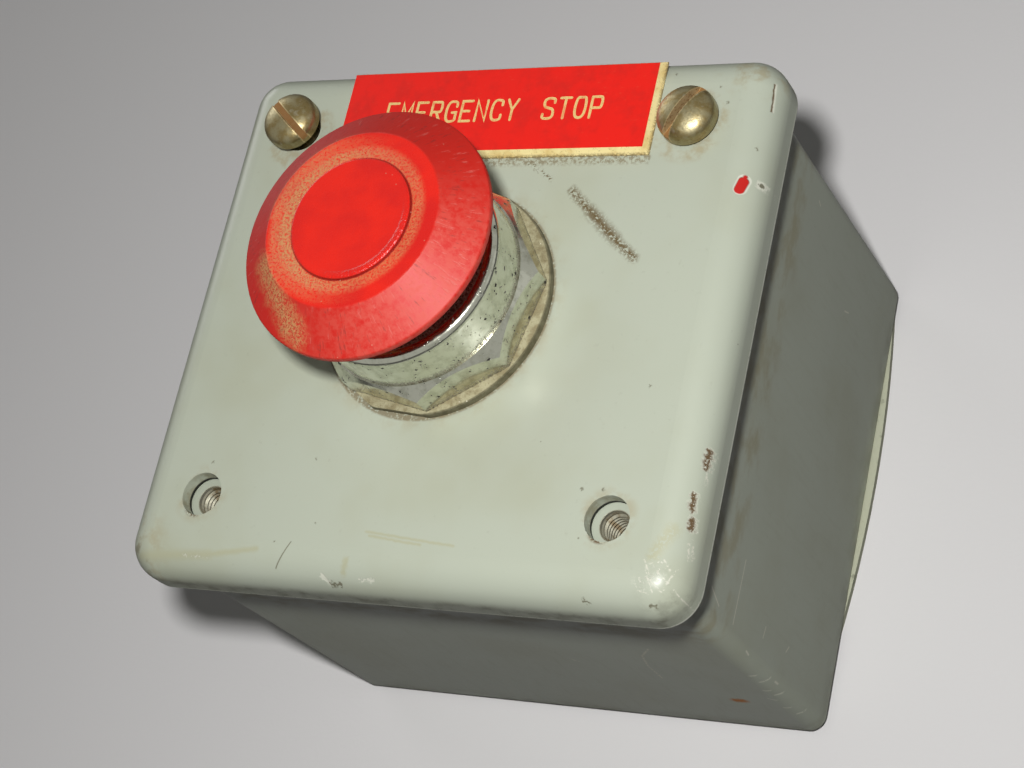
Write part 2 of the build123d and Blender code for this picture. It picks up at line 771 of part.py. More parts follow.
with BuildPart() as block_screws:
    with BuildSketch(operator_level(cover_rear)):
        with Locations(*screw_pattern):
            Circle(block_screw_radius)
    extrude(amount=bushing_end + block_screw_bite - cover_rear)
    with BuildSketch(operator_level(cover_rear)):
        with Locations(*screw_pattern):
            Circle(block_screw_head_radius)
    extrude(amount=-block_screw_head_height)
    with BuildSketch(operator_level(cover_rear - block_screw_head_height)):
        with Locations(*screw_pattern):
            Rectangle(screw_slot_width, slot_cut * block_screw_head_radius)
    extrude(amount=screw_slot_depth, mode=Mode.SUBTRACT)
block_screws.part.label = "block_screws"
export_step(block_screws.part, "parts/block_screws.step")
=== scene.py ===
"""Finishes, small pieces, stage and camera for a surface-mounted stop-button station.

Every object is in metres, in the row's frame: Z out of the front along the button, Y towards the
label's edge, X to the right. Inside the materials a place is in millimetres.
"""

import json
import logging
import math
from dataclasses import dataclass, field
from enum import Enum
from typing import Any, Optional, Union

import bmesh
import bpy
from mathutils import Euler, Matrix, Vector

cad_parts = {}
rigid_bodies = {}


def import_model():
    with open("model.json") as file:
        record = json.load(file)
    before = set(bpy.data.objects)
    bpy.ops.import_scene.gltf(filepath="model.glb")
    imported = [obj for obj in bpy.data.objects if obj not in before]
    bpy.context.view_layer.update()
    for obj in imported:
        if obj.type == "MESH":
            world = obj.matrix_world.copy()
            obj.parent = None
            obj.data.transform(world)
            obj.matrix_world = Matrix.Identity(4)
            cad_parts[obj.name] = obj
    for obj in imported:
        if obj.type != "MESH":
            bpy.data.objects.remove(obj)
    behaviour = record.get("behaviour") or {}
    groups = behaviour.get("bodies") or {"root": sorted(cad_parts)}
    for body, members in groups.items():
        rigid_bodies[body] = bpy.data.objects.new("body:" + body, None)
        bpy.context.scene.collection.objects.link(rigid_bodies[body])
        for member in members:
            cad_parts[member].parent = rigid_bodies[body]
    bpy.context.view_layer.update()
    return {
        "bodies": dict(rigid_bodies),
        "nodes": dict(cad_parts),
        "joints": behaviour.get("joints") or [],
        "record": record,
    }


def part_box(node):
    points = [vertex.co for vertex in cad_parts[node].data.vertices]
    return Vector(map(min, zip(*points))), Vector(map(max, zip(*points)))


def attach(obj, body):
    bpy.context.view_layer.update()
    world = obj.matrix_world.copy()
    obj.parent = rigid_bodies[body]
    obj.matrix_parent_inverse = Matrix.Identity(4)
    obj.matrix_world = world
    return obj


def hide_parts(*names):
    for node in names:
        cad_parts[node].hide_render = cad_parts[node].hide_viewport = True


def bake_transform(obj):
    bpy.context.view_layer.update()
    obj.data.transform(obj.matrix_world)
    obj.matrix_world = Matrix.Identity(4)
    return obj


Triple = tuple[float, float, float]
Colour = tuple[float, float, float, float]

LOG = logging.getLogger("stop_station")
MM = 0.001

# Up to these, a mark's outline is clean, and is only a little ragged
CLEAN_EDGE, SOFT_EDGE = 0.05, 0.25


def tint(red: int, green: int, blue: int) -> Colour:
    """A linear colour from screen values.

    Args:
        red: Red, 0 to 255, as on a screen.
        green: Green, likewise.
        blue: Blue, likewise.

    Returns:
        The same colour in linear light, with full alpha.
    """
    parts = [value / 255 for value in (red, green, blue)]
    linear = [p / 12.92 if p <= 0.04045 else ((p + 0.055) / 1.055) ** 2.4 for p in parts]
    return (linear[0], linear[1], linear[2], 1.0)


# ---------------------------------------------------------------- shader expressions
class Value:
    """A number that varies over a surface. Arithmetic on it adds Math nodes."""

    def __init__(self, graph: "Graph", socket: bpy.types.NodeSocket) -> None:
        """Wraps one output socket of a graph."""
        self.graph = graph
        self.socket = socket

    def _math(self, operation: str, first: Any, second: Any = None) -> "Value":
        """Adds a Math node.

        Args:
            operation: The node's operation.
            first: Its first input.
            second: Its second input, where it has one.

        Returns:
            The node's result.
        """
        inputs = {0: first} if second is None else {0: first, 1: second}
        return self.graph.value(self.graph.node("ShaderNodeMath", {"operation": operation}, inputs))

    def __add__(self, other: Any) -> "Value":
        """self + other"""
        return self._math("ADD", self, other)

    def __radd__(self, other: Any) -> "Value":
        """other + self"""
        return self._math("ADD", other, self)

    def __sub__(self, other: Any) -> "Value":
        """self - other"""
        return self._math("SUBTRACT", self, other)

    def __rsub__(self, other: Any) -> "Value":
        """other - self"""
        return self._math("SUBTRACT", other, self)

    def __mul__(self, other: Any) -> "Value":
        """self * other"""
        return self._math("MULTIPLY", self, other)

    def __rmul__(self, other: Any) -> "Value":
        """other * self"""
        return self._math("MULTIPLY", other, self)

    def __truediv__(self, other: Any) -> "Value":
        """self / other"""
        return self._math("DIVIDE", self, other)

    def wrapped(self, period: float) -> "Value":
        """The remainder within a period, from 0 up to the period."""
        return self._math("FLOORED_MODULO", self, period)

    def size(self) -> "Value":
        """The number without its sign."""
        return self._math("ABSOLUTE", self)

    def clamped(self) -> "Value":
        """The number kept within 0 and 1."""
        return self.graph.value(self.graph.node("ShaderNodeClamp", {}, {0: self}))

    def higher(self, other: Any) -> "Value":
        """The higher of this and another number."""
        return self._math("MAXIMUM", self, other)

    def rise(self, low: float, high: float) -> "Value":
        """A smooth step.

        Args:
            low: Where the step starts, at 0.
            high: Where it ends, at 1. A high below the low makes a falling step.

        Returns:
            A mask from 0 to 1.
        """
        settings = {"interpolation_type": "SMOOTHSTEP", "clamp": False}
        inputs = {0: self, 1: low, 2: high, 3: 0.0, 4: 1.0}
        if high < low:
            inputs = {0: self, 1: high, 2: low, 3: 1.0, 4: 0.0}
        return self.graph.value(self.graph.node("ShaderNodeMapRange", settings, inputs))

    def within(self, low: float, high: float, soft: float) -> "Value":
        """A mask that is 1 from low to high, and fades over soft outside them."""
        return self.rise(low - soft, low) * self.rise(high + soft, high)


class Place:
    """A vector that varies over a surface. Arithmetic on it adds Vector Math nodes."""

    def __init__(self, graph: "Graph", socket: bpy.types.NodeSocket) -> None:
        """Wraps one vector output of a graph."""
        self.graph = graph
        self.socket = socket

    def _vector(self, operation: str, second: Any) -> bpy.types.Node:
        """Adds a Vector Math node on this vector and another."""
        return self.graph.node("ShaderNodeVectorMath", {"operation": operation}, {0: self, 1: second})

    def __add__(self, other: Any) -> "Place":
        """self + other"""
        return Place(self.graph, self._vector("ADD", other).outputs[0])

    def __sub__(self, other: Any) -> "Place":
        """self - other"""
        return Place(self.graph, self._vector("SUBTRACT", other).outputs[0])

    def __mul__(self, other: Any) -> "Place":
        """self * other, part by part"""
        return Place(self.graph, self._vector("MULTIPLY", other).outputs[0])

    def dot(self, other: Any) -> Value:
        """The dot product with another vector."""
        return Value(self.graph, self._vector("DOT_PRODUCT", other).outputs["Value"])

    def length(self) -> Value:
        """The vector's length."""
        return Value(self.graph, self._vector("LENGTH", (0, 0, 0)).outputs["Value"])

    def stretched(self, amount: Value, along: Triple) -> "Place":
        """This vector less a varying amount of a fixed direction.

        Args:
            amount: How much of the direction is taken off.
            along: The direction.

        Returns:
            The new vector.
        """
        inputs = {0: along, "Scale": amount}
        part = self.graph.node("ShaderNodeVectorMath", {"operation": "SCALE"}, inputs)
        return self - Place(self.graph, part.outputs[0])

    def parts(self) -> tuple[Value, Value, Value]:
        """The X, Y and Z parts as numbers."""
        node = self.graph.node("ShaderNodeSeparateXYZ", {}, {0: self})
        return tuple(Value(self.graph, output) for output in node.outputs)


class Face(Enum):
    """A face that marks lie on, by how much each of a place's parts counts there."""

    FRONT = (1.0, 1.0, 0.0)
    SIDE = (0.05, 1.0, 1.0)
    LOWER = (1.0, 0.05, 1.0)


class Stain(Enum):
    """What a mark left, as a colour, a roughness and how deep it cuts in millimetres."""

    HANDLING = (tint(181, 182, 154), 0.45, 0.0)
    SCUFF = (tint(104, 88, 56), 0.7, 0.0)
    PRIMER = (tint(216, 217, 200), 0.5, 0.03)
    SCRATCH = (tint(214, 213, 196), 0.5, 0.0)
    GRAPHITE = (tint(120, 118, 98), 0.6, 0.0)
    OCHRE = (tint(196, 128, 70), 0.8, 0.0)
    RUST = (tint(104, 84, 58), 0.8, 0.03)
    RED_PAINT = (tint(196, 26, 18), 0.22, -0.12)


@dataclass(frozen=True)
class Mark:
    """A stroke on a face, in millimetres of the row's frame.

    Attributes:
        stain: What the stroke left.
        start: One end.
        end: The other end, the same as the start for a dot.
        width: Full width.
        soft: How far its edge fades.
        ragged: How far noise pushes its edge about.
        broken: Share of the stroke that noise leaves out, from 0 to 1.
        face: The face that it lies on.
    """

    stain: Stain
    start: Triple
    end: Triple
    width: float
    soft: float = 0.15
    ragged: float = 0.4
    broken: float = 0.0
    face: Face = Face.FRONT


class Graph:
    """The node tree of one material, or of the world, built from expressions."""

    def __init__(self, name: str, owners: Any = None) -> None:
        """Makes an empty node tree.

        Args:
            name: The name of the tree's owner.
            owners: Where the owner is made, which is among the materials unless given.
        """
        self.owner = (bpy.data.materials if owners is None else owners).new(name)
        self.owner.use_nodes = True
        self.tree = self.owner.node_tree
        self.tree.nodes.clear()

    def node(self, kind: str, settings: dict[str, Any], inputs: dict[Any, Any]) -> bpy.types.Node:
        """Adds one node.

        Args:
            kind: The node's type.
            settings: Its properties.
            inputs: Values or links for its sockets, by name or number.

        Returns:
            The new node.
        """
        node = self.tree.nodes.new(kind)
        for name, value in settings.items():
            setattr(node, name, value)
        for name, value in inputs.items():
            if isinstance(value, (Value, Place)):
                self.tree.links.new(value.socket, node.inputs[name])
            elif isinstance(value, bpy.types.NodeSocket):
                self.tree.links.new(value, node.inputs[name])
            else:
                node.inputs[name].default_value = value
        return node

    def value(self, node: bpy.types.Node, output: Union[int, str] = 0) -> Value:
        """One output of a node as a number."""
        return Value(self, node.outputs[output])

    def place(self) -> Place:
        """The place on the object, in millimetres of the row's frame."""
        node = self.node("ShaderNodeTexCoord", {}, {})
        return Place(self, node.outputs["Object"]) * (1 / MM, 1 / MM, 1 / MM)

    def noise(self, where: Place, scale: float, detail: float = 2.0, roughness: float = 0.5) -> Value:
        """Smooth noise.

        Args:
            where: The place to read it at.
            scale: Its features per millimetre.
            detail: Octaves of finer noise.
            roughness: How strong the finer octaves are.

        Returns:
            A number about 0.5.
        """
        inputs = {"Vector": where, "Scale": scale, "Detail": detail, "Roughness": roughness}
        return self.value(self.node("ShaderNodeTexNoise", {}, inputs))

    def warped(self, where: Place, scale: float, reach: float) -> Place:
        """The place pushed about by noise.

        Args:
            where: The place.
            scale: Waves per millimetre.
            reach: Twice the furthest push, in millimetres.

        Returns:
            The pushed place.
        """
        inputs = {"Vector": where, "Scale": scale, "Detail": 2.0}
        noise = self.node("ShaderNodeTexNoise", {}, inputs)
        split = self.node("ShaderNodeSeparateColor", {}, {0: noise.outputs["Color"]})
        join = self.node("ShaderNodeCombineXYZ", {}, {n: split.outputs[n] for n in range(3)})
        return where + (Place(self, join.outputs[0]) - (0.5, 0.5, 0.5)) * (reach, reach, reach)

    def specks(self, where: Place, scale: float, radius: float, kept: float) -> Value:
        """Scattered round specks.

        Args:
            where: The place to read them at.
            scale: Cells per millimetre, each with one speck at most.
            radius: A speck's radius, as a share of a cell.
            kept: Share of the cells that have one.

        Returns:
            A mask.
        """
        node = self.node("ShaderNodeTexVoronoi", {}, {"Vector": where, "Scale": scale})
        pick = self.value(self.node("ShaderNodeSeparateColor", {}, {0: node.outputs["Color"]}))
        return self.value(node, "Distance").rise(radius, radius * 0.6) * pick.rise(kept, kept - 0.02)

    def blend(self, under: Any, over: Any, amount: Any) -> bpy.types.NodeSocket:
        """One colour laid over another.

        Args:
            under: The colour below.
            over: The colour on top.
            amount: How much of the top one covers.

        Returns:
            The mixed colour's socket.
        """
        settings = {"data_type": "RGBA"}
        return self.node("ShaderNodeMix", settings, {0: amount, 6: under, 7: over}).outputs[2]

    def stroke(self, where: Place, mark: Mark) -> Value:
        """The mask of one mark, for a place that is already pushed about.

        Args:
            where: The place.
            mark: The stroke.

        Returns:
            A mask from 0 to 1.
        """
        flat = mark.face.value
        run = tuple((b - a) * f for a, b, f in zip(mark.start, mark.end, flat))
        rest = (where - mark.start) * flat
        square = sum(r * r for r in run)
        if square > 0:
            along = rest.dot(tuple(r / square for r in run)).clamped()
            rest = rest.stretched(along, run)
        return rest.length().rise(mark.width / 2 + mark.soft, max(mark.width / 2 - mark.soft, 0))

    def surface(self, inputs: dict[str, Any], height: Optional[Value] = None) -> bpy.types.Material:
        """Ends the material in a Principled shader.

        Args:
            inputs: The shader's sockets, by name.
            height: Relief in millimetres, through a Bump node.

        Returns:
            The finished material.
        """
        if height is not None:
            bump = self.node("ShaderNodeBump", {}, {"Strength": 1.0, "Distance": MM, "Height": height})
            inputs = {**inputs, "Normal": bump.outputs[0]}
        shader = self.node("ShaderNodeBsdfPrincipled", {}, inputs)
        self.node("ShaderNodeOutputMaterial", {}, {"Surface": shader.outputs[0]})
        return self.owner


# ---------------------------------------------------------------- layout shared by finishes
@dataclass(frozen=True)
class Layout:
    """Where the station's features are, in millimetres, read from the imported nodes.

    Attributes:
        face: Height of the lid's face.
        axis: The operator's axis in X and Y.
        head_top: Height of the head's disc.
        head_radius: Radius of the head.
        collar_top: Height of the collar's rim.
        nut_base: Height of the nut's lower side.
        nut_top: Height of the nut's upper side.
        label_low: The label's lowest corner.
        label_high: The label's highest corner.
        washer_radius: Radius of the trim washer.
        half_width: Half the lid's width.
        half_height: Half the lid's height.
        wall_right: The box's right wall, in X.
        wall_lower: The box's lower wall, in Y.
        open_holes: The two lid holes without screws.
        screws: The two lid screws' axes.
        screw_tops: The heights of the screws' crowns.
        entry: The conduit entry's axis in X and Z.
    """

    face: float
    axis: tuple[float, float]
    head_top: float
    head_radius: float
    collar_top: float
    nut_base: float
    nut_top: float
    label_low: Triple
    label_high: Triple
    washer_radius: float
    half_width: float
    half_height: float
    wall_right: float
    wall_lower: float
    open_holes: tuple[tuple[float, float], ...] = ((-35.2, -31.9), (35.2, -31.9))
    screws: tuple[tuple[float, float], ...] = ((-35.2, 32.6), (35.2, 32.6))
    screw_tops: tuple[float, float] = (82.7, 80.9)
    entry: tuple[float, float] = (0.0, 27.0)

    @classmethod
    def read(cls) -> "Layout":
        """Reads the layout from the nodes' boxes.

        Returns:
            The layout.
        """

        def corners(node: str) -> tuple[Triple, Triple]:
            """A node's lowest and highest corners, in millimetres."""
            low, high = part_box(node)
            return tuple(c / MM for c in low), tuple(c / MM for c in high)

        _, lid_high = corners("lid")
        head_low, head_high = corners("mushroom_head")
        nut_low, nut_high = corners("ring_nut")
        label_low, label_high = corners("label_plate")
        _, washer_high = corners("trim_washer")
        body_low, body_high = corners("enclosure_body")
        return cls(
            face=lid_high[2],
            axis=((head_low[0] + head_high[0]) / 2, (head_low[1] + head_high[1]) / 2),
            head_top=head_high[2],
            head_radius=(head_high[0] - head_low[0]) / 2,
            collar_top=corners("bezel_collar")[1][2],
            nut_base=nut_low[2],
            nut_top=nut_high[2],
            label_low=label_low,
            label_high=label_high,
            washer_radius=washer_high[0] - (head_low[0] + head_high[0]) / 2,
            half_width=lid_high[0],
            half_height=lid_high[1],
            wall_right=body_high[0],
            wall_lower=body_low[1],
        )


def about(graph: Graph, where: Place, axis: tuple[float, float]) -> tuple[Value, Value]:
    """Polar places about an upright axis.

    Args:
        graph: The material's graph.
        where: The place.
        axis: The axis's X and Y.

    Returns:
        The distance from the axis, and the angle in degrees from -180 to 180.
    """
    offset = (where - (axis[0], axis[1], 0.0)) * (1.0, 1.0, 0.0)
    x, y, _ = offset.parts()
    angle = graph.value(graph.node("ShaderNodeMath", {"operation": "ARCTAN2"}, {0: y, 1: x}))
    return offset.length(), angle * (180 / math.pi)


# ---------------------------------------------------------------- enamel
@dataclass(frozen=True)
class Enamel:
    """Gloss enamel on steel, with its marks.

    Attributes:
        name: The material's name.
        layout: Where the station's features are.
        marks: Its strokes and dots, in the order that they were made.
        coat: The paint's colour.
        aged: The colour it has turned in patches.
        gloss: The clean paint's roughness.
    """

    name: str
    layout: Layout
    marks: tuple[Mark, ...] = ()
    coat: Colour = tint(187, 193, 175)
    aged: Colour = tint(176, 178, 152)
    gloss: float = 0.31

    def dirt_and_painted_light(self, graph: Graph, where: Place) -> list[tuple[Colour, Value]]:
        """Layers of dirt and of painted light, each a colour and its mask. Plain enamel has none of its
        own.
        """
        return []

    def bare(self, graph: Graph, where: Place) -> Optional[tuple[Value, Value]]:
        """A mask of bare metal and its relief, where a face has some."""
        return None

    def stained(self, graph: Graph, where: Place, stain: Stain) -> Optional[Value]:
        """All the marks of one stain as one mask.

        Args:
            graph: The material's graph.
            where: The place.
            stain: The stain.

        Returns:
            The mask, or None where there are no such marks.
        """
        total: Optional[Value] = None
        soft, ragged = graph.warped(where, 1.1, 0.4), graph.warped(where, 1.9, 1.0)
        gaps = graph.noise(where, 1.9, 3.0, 0.75)
        for mark in self.marks:
            if mark.stain is not stain:
                continue
            rough = soft if mark.ragged <= SOFT_EDGE else ragged
            pushed = where if mark.ragged <= CLEAN_EDGE else rough
            mask = graph.stroke(pushed, mark)
            if mark.broken > 0:
                mask = mask * gaps.rise(0.35 + 0.3 * mark.broken, 0.42 + 0.3 * mark.broken)
            total = mask if total is None else total.higher(mask)
        return total

    def relief(self, graph: Graph, where: Place) -> Value:
        """The paint's slow waviness and its orange peel, in millimetres."""
        wave = graph.noise(where, 0.035, 1.0) * 0.30 + graph.noise(where, 0.13, 1.0) * 0.035
        return wave + graph.noise(where, 1.3, 1.0) * 0.0035

    def material(self) -> bpy.types.Material:
        """Builds the enamel.

        Returns:
            The material.
        """
        graph = Graph(self.name)
        where = graph.place()
        height = self.relief(graph, where)
        patches = graph.noise(where, 0.045, 3.0, 0.55)
        fine = graph.noise(where, 0.9, 3.0, 0.6)
        colour = graph.blend(self.coat, self.aged, patches.rise(0.42, 0.78) * 0.55)
        colour = graph.blend(colour, tint(150, 150, 130), fine.rise(0.62, 0.85) * 0.25)
        rough = self.gloss + fine.rise(0.45, 0.8) * 0.06
        metal: Any = 0.0
        # Dirt layers and, on the lid, painted shade, painted shadow and painted highlight layers, merged
        # by colour; all of them also roughen the paint
        dirt: dict[Colour, Value] = {}
        for tone, mask in self.dirt_and_painted_light(graph, where):
            dirt[tone] = dirt[tone].higher(mask) if tone in dirt else mask
        dirt_and_light_mask: Any = 0.0
        for tone, mask in dirt.items():
            colour = graph.blend(colour, tone, mask)
            dirt_and_light_mask = mask.higher(dirt_and_light_mask)
        rough = rough + dirt_and_light_mask * 0.30
        dots = graph.specks(where, 0.16, 0.045, 0.16)
        dots = dots + graph.specks(where + (40, 9, 3), 0.42, 0.06, 0.05)
        colour = graph.blend(colour, Stain.GRAPHITE.value[0], dots.clamped() * 0.75)
        bare = self.bare(graph, where)
        if bare is not None:
            metal, groove = bare
            colour = graph.blend(colour, tint(188, 180, 160), metal)
            rough = rough + metal * 0.05
            height = height + groove
        for stain in Stain:
            mask = self.stained(graph, where, stain)
            if mask is None:
                continue
            tone, dull, depth = stain.value
            colour = graph.blend(colour, tone, mask)
            rough = rough + mask * (dull - self.gloss)
            if depth:
                height = height - mask * depth
        inputs = {"Base Color": colour, "Roughness": rough.clamped(), "Metallic": metal}
        return graph.surface({**inputs, "Specular IOR Level": 0.5}, height)


@dataclass(frozen=True)
class LidEnamel(Enamel):
    """The lid's enamel: grime in its corners and round everything that stands on it, painted shade on its
    lower skirt, a painted shadow in its open holes and a painted highlight along its lower rim.

    Attributes:
        hole_radius: The screw holes' radius, at the foot of their bare edge.
        worn_lit_rim_drop: How far below the face the pale line along the lower rim starts: worn paint with
            a painted highlight.
    """

    hole_radius: float = 3.6
    worn_lit_rim_drop: float = 8.15

    def dirt_and_painted_light(self, graph: Graph, where: Place) -> list[tuple[Colour, Value]]:
        """Dirt at the corners, under the label, round the operator and at the holes' edges, with painted
        shade on the lower skirt, a painted shadow low in the open holes and a painted highlight, partly
        wear, along the lower rim.

        Args:
            graph: The material's graph.
            where: The place.

        Returns:
            Each layer's colour and mask.
        """
        lay = self.layout
        coarse = graph.noise(where, 0.35, 4.0, 0.65)
        crumbs = graph.noise(where, 1.6, 3.0, 0.7)
        tan, brown, soot = tint(170, 160, 128), tint(122, 106, 74), tint(128, 128, 112)
        ring, _ = about(graph, where, lay.axis)
        rim = lay.washer_radius
        x, y, z = where.parts()
        seat = ring.rise(rim + 3.2, rim - 0.4) * coarse.rise(0.40, 0.62)
        line = ring.rise(rim + 0.55, rim + 0.1) * crumbs.rise(0.36, 0.5)
        under = y.within(lay.label_low[1] - 0.9, lay.label_low[1], 0.9)
        under = under * x.within(lay.label_low[0], lay.label_high[0], 0.5) * crumbs.rise(0.42, 0.6)
        layers = [(tan, seat * 0.45), (brown, line * 0.75), (brown, under * 0.7)]
        for corner, reach, tone, share in (
            ((-46.0, -41.5, 0.0), 9.0, tan, 0.75),
            ((-45.5, -42.5, 0.0), 4.0, soot, 0.7),
            ((46.0, -42.8, 0.0), 5.5, soot, 0.4),
            ((44.0, 43.0, 0.0), 8.0, tan, 0.7),
        ):
            near = ((where - corner) * Face.FRONT.value).length().rise(reach, reach * 0.25)
            layers.append((tone, near * coarse.rise(0.45, 0.66) * share))
        for point in lay.screws:
            near = ((where - (point[0], point[1] - 0.8, 0.0)) * Face.FRONT.value).length()
            layers.append((tan, near.within(3.0, 5.6, 1.4) * coarse.rise(0.42, 0.66) * 0.7))
        for point in lay.open_holes:
            near = ((where - (point[0], point[1], 0.0)) * Face.FRONT.value).length()
            layers.append((tan, near.rise(5.6, 3.4) * coarse.rise(0.42, 0.7) * 0.6))
            chipped = ((where - (point[0] - 0.9, point[1] - 3.0, 0.0)) * Face.FRONT.value).length()
            rusty = chipped.rise(1.9, 0.6) * near.rise(4.2, 3.6) * crumbs.rise(0.38, 0.5)
            layers.append((Stain.RUST.value[0], rusty))
            inside = near.rise(self.hole_radius + 0.12, self.hole_radius)
            inside = inside * z.rise(lay.face - 0.1, lay.face - 0.6)
            layers.append((tint(150, 146, 118), inside * coarse.rise(0.35, 0.6) * 0.6))
            # Painted shadow: the lower part of each open hole's wall is painted near black where the gap
            # under the lid lies in shade
            layers.append((tint(24, 23, 20), inside * z.rise(lay.face - 2.0, lay.face - 2.2)))
        # Painted shade, partly dirt: the skirt's lower face below its rounded edge is painted darker along
        # the lid's lower side
        skirt_dirt_and_shade = z.rise(lay.face - 3.8, lay.face - 5.8) * y.rise(3 - lay.half_height, -lay.half_height)
        layers.append((tint(112, 110, 94), skirt_dirt_and_shade * (0.35 + coarse.rise(0.4, 0.7) * 0.4)))
        # Painted highlight, partly worn paint: a pale line along the lid's lower rim
        rim_wear_and_highlight = z.rise(lay.face - self.worn_lit_rim_drop, lay.face - self.worn_lit_rim_drop - 0.3)
        layers.append((tint(224, 226, 210), rim_wear_and_highlight * crumbs.rise(0.34, 0.46) * 0.9))
        return layers

    def relief(self, graph: Graph, where: Place) -> Value:
        """The lid's waviness, with the shallow dent that the operator pulls in it."""
        ring, _ = about(graph, where, self.layout.axis)
        return Enamel.relief(self, graph, where) + ring.rise(14.0, 40.0) * 0.25


@dataclass(frozen=True)
class BodyEnamel(Enamel):
    """The box's enamel: haze under the lid's edge, and bare threads in its tapped holes.

    Attributes:
        coat: The paint's colour.
        aged: The colour it has where it has yellowed.
        entry_bore: The conduit entry's radius where its metal is bare.
        entry_pitch: The pitch of the entry's thread.
        post_bore: The posts' tapped holes' radius, likewise.
    """

    coat: Colour = tint(176, 182, 165)
    aged: Colour = tint(162, 164, 140)
    entry_bore: float = 9.25
    entry_pitch: float = 1.5
    post_bore: float = 2.5

    def dirt_and_painted_light(self, graph: Graph, where: Place) -> list[tuple[Colour, Value]]:
        """A brown haze below the lid's rim, and dirt along the foot of the walls.

        Args:
            graph: The material's graph.
            where: The place.

        Returns:
            Each layer's colour and mask.
        """
        _, _, z = where.parts()
        cloud = graph.noise(where * (1.0, 1.0, 1.6), 0.16, 4.0, 0.6)
        haze = z.within(52.0, 63.0, 5.0) * cloud.rise(0.42, 0.66)
        foot = z.rise(7.0, 1.5) * cloud.rise(0.38, 0.6)
        drawn = graph.noise(where * (1.0, 1.0, 0.12), 0.9, 2.0, 0.6)
        return [
            (tint(154, 142, 106), haze * 0.5),
            (tint(120, 112, 90), foot * 0.35),
            (tint(170, 172, 154), drawn.rise(0.5, 0.75) * 0.2),
        ]

    def bare(self, graph: Graph, where: Place) -> Optional[tuple[Value, Value]]:
        """Bare metal in the posts' tapped holes and in the conduit entry.

        Args:
            graph: The material's graph.
            where: The place.

        Returns:
            The bare metal's mask and its thread's relief.
        """
        lay = self.layout
        _, y, _ = where.parts()
        aside = (where - (lay.entry[0], 0.0, lay.entry[1])) * (1.0, 0.0, 1.0)
        inside = aside.length().rise(self.entry_bore + 0.1, self.entry_bore)
        inside = inside * y.rise(34.0, 34.6)
        turns = (y / self.entry_pitch).wrapped(1.0) - 0.5
        groove = inside * turns.size() * -0.9
        for point in lay.open_holes + lay.screws:
            near = ((where - (point[0], point[1], 0.0)) * Face.FRONT.value).length()
            inside = inside.higher(near.rise(self.post_bore + 0.12, self.post_bore) * 0.6)
        return inside, groove


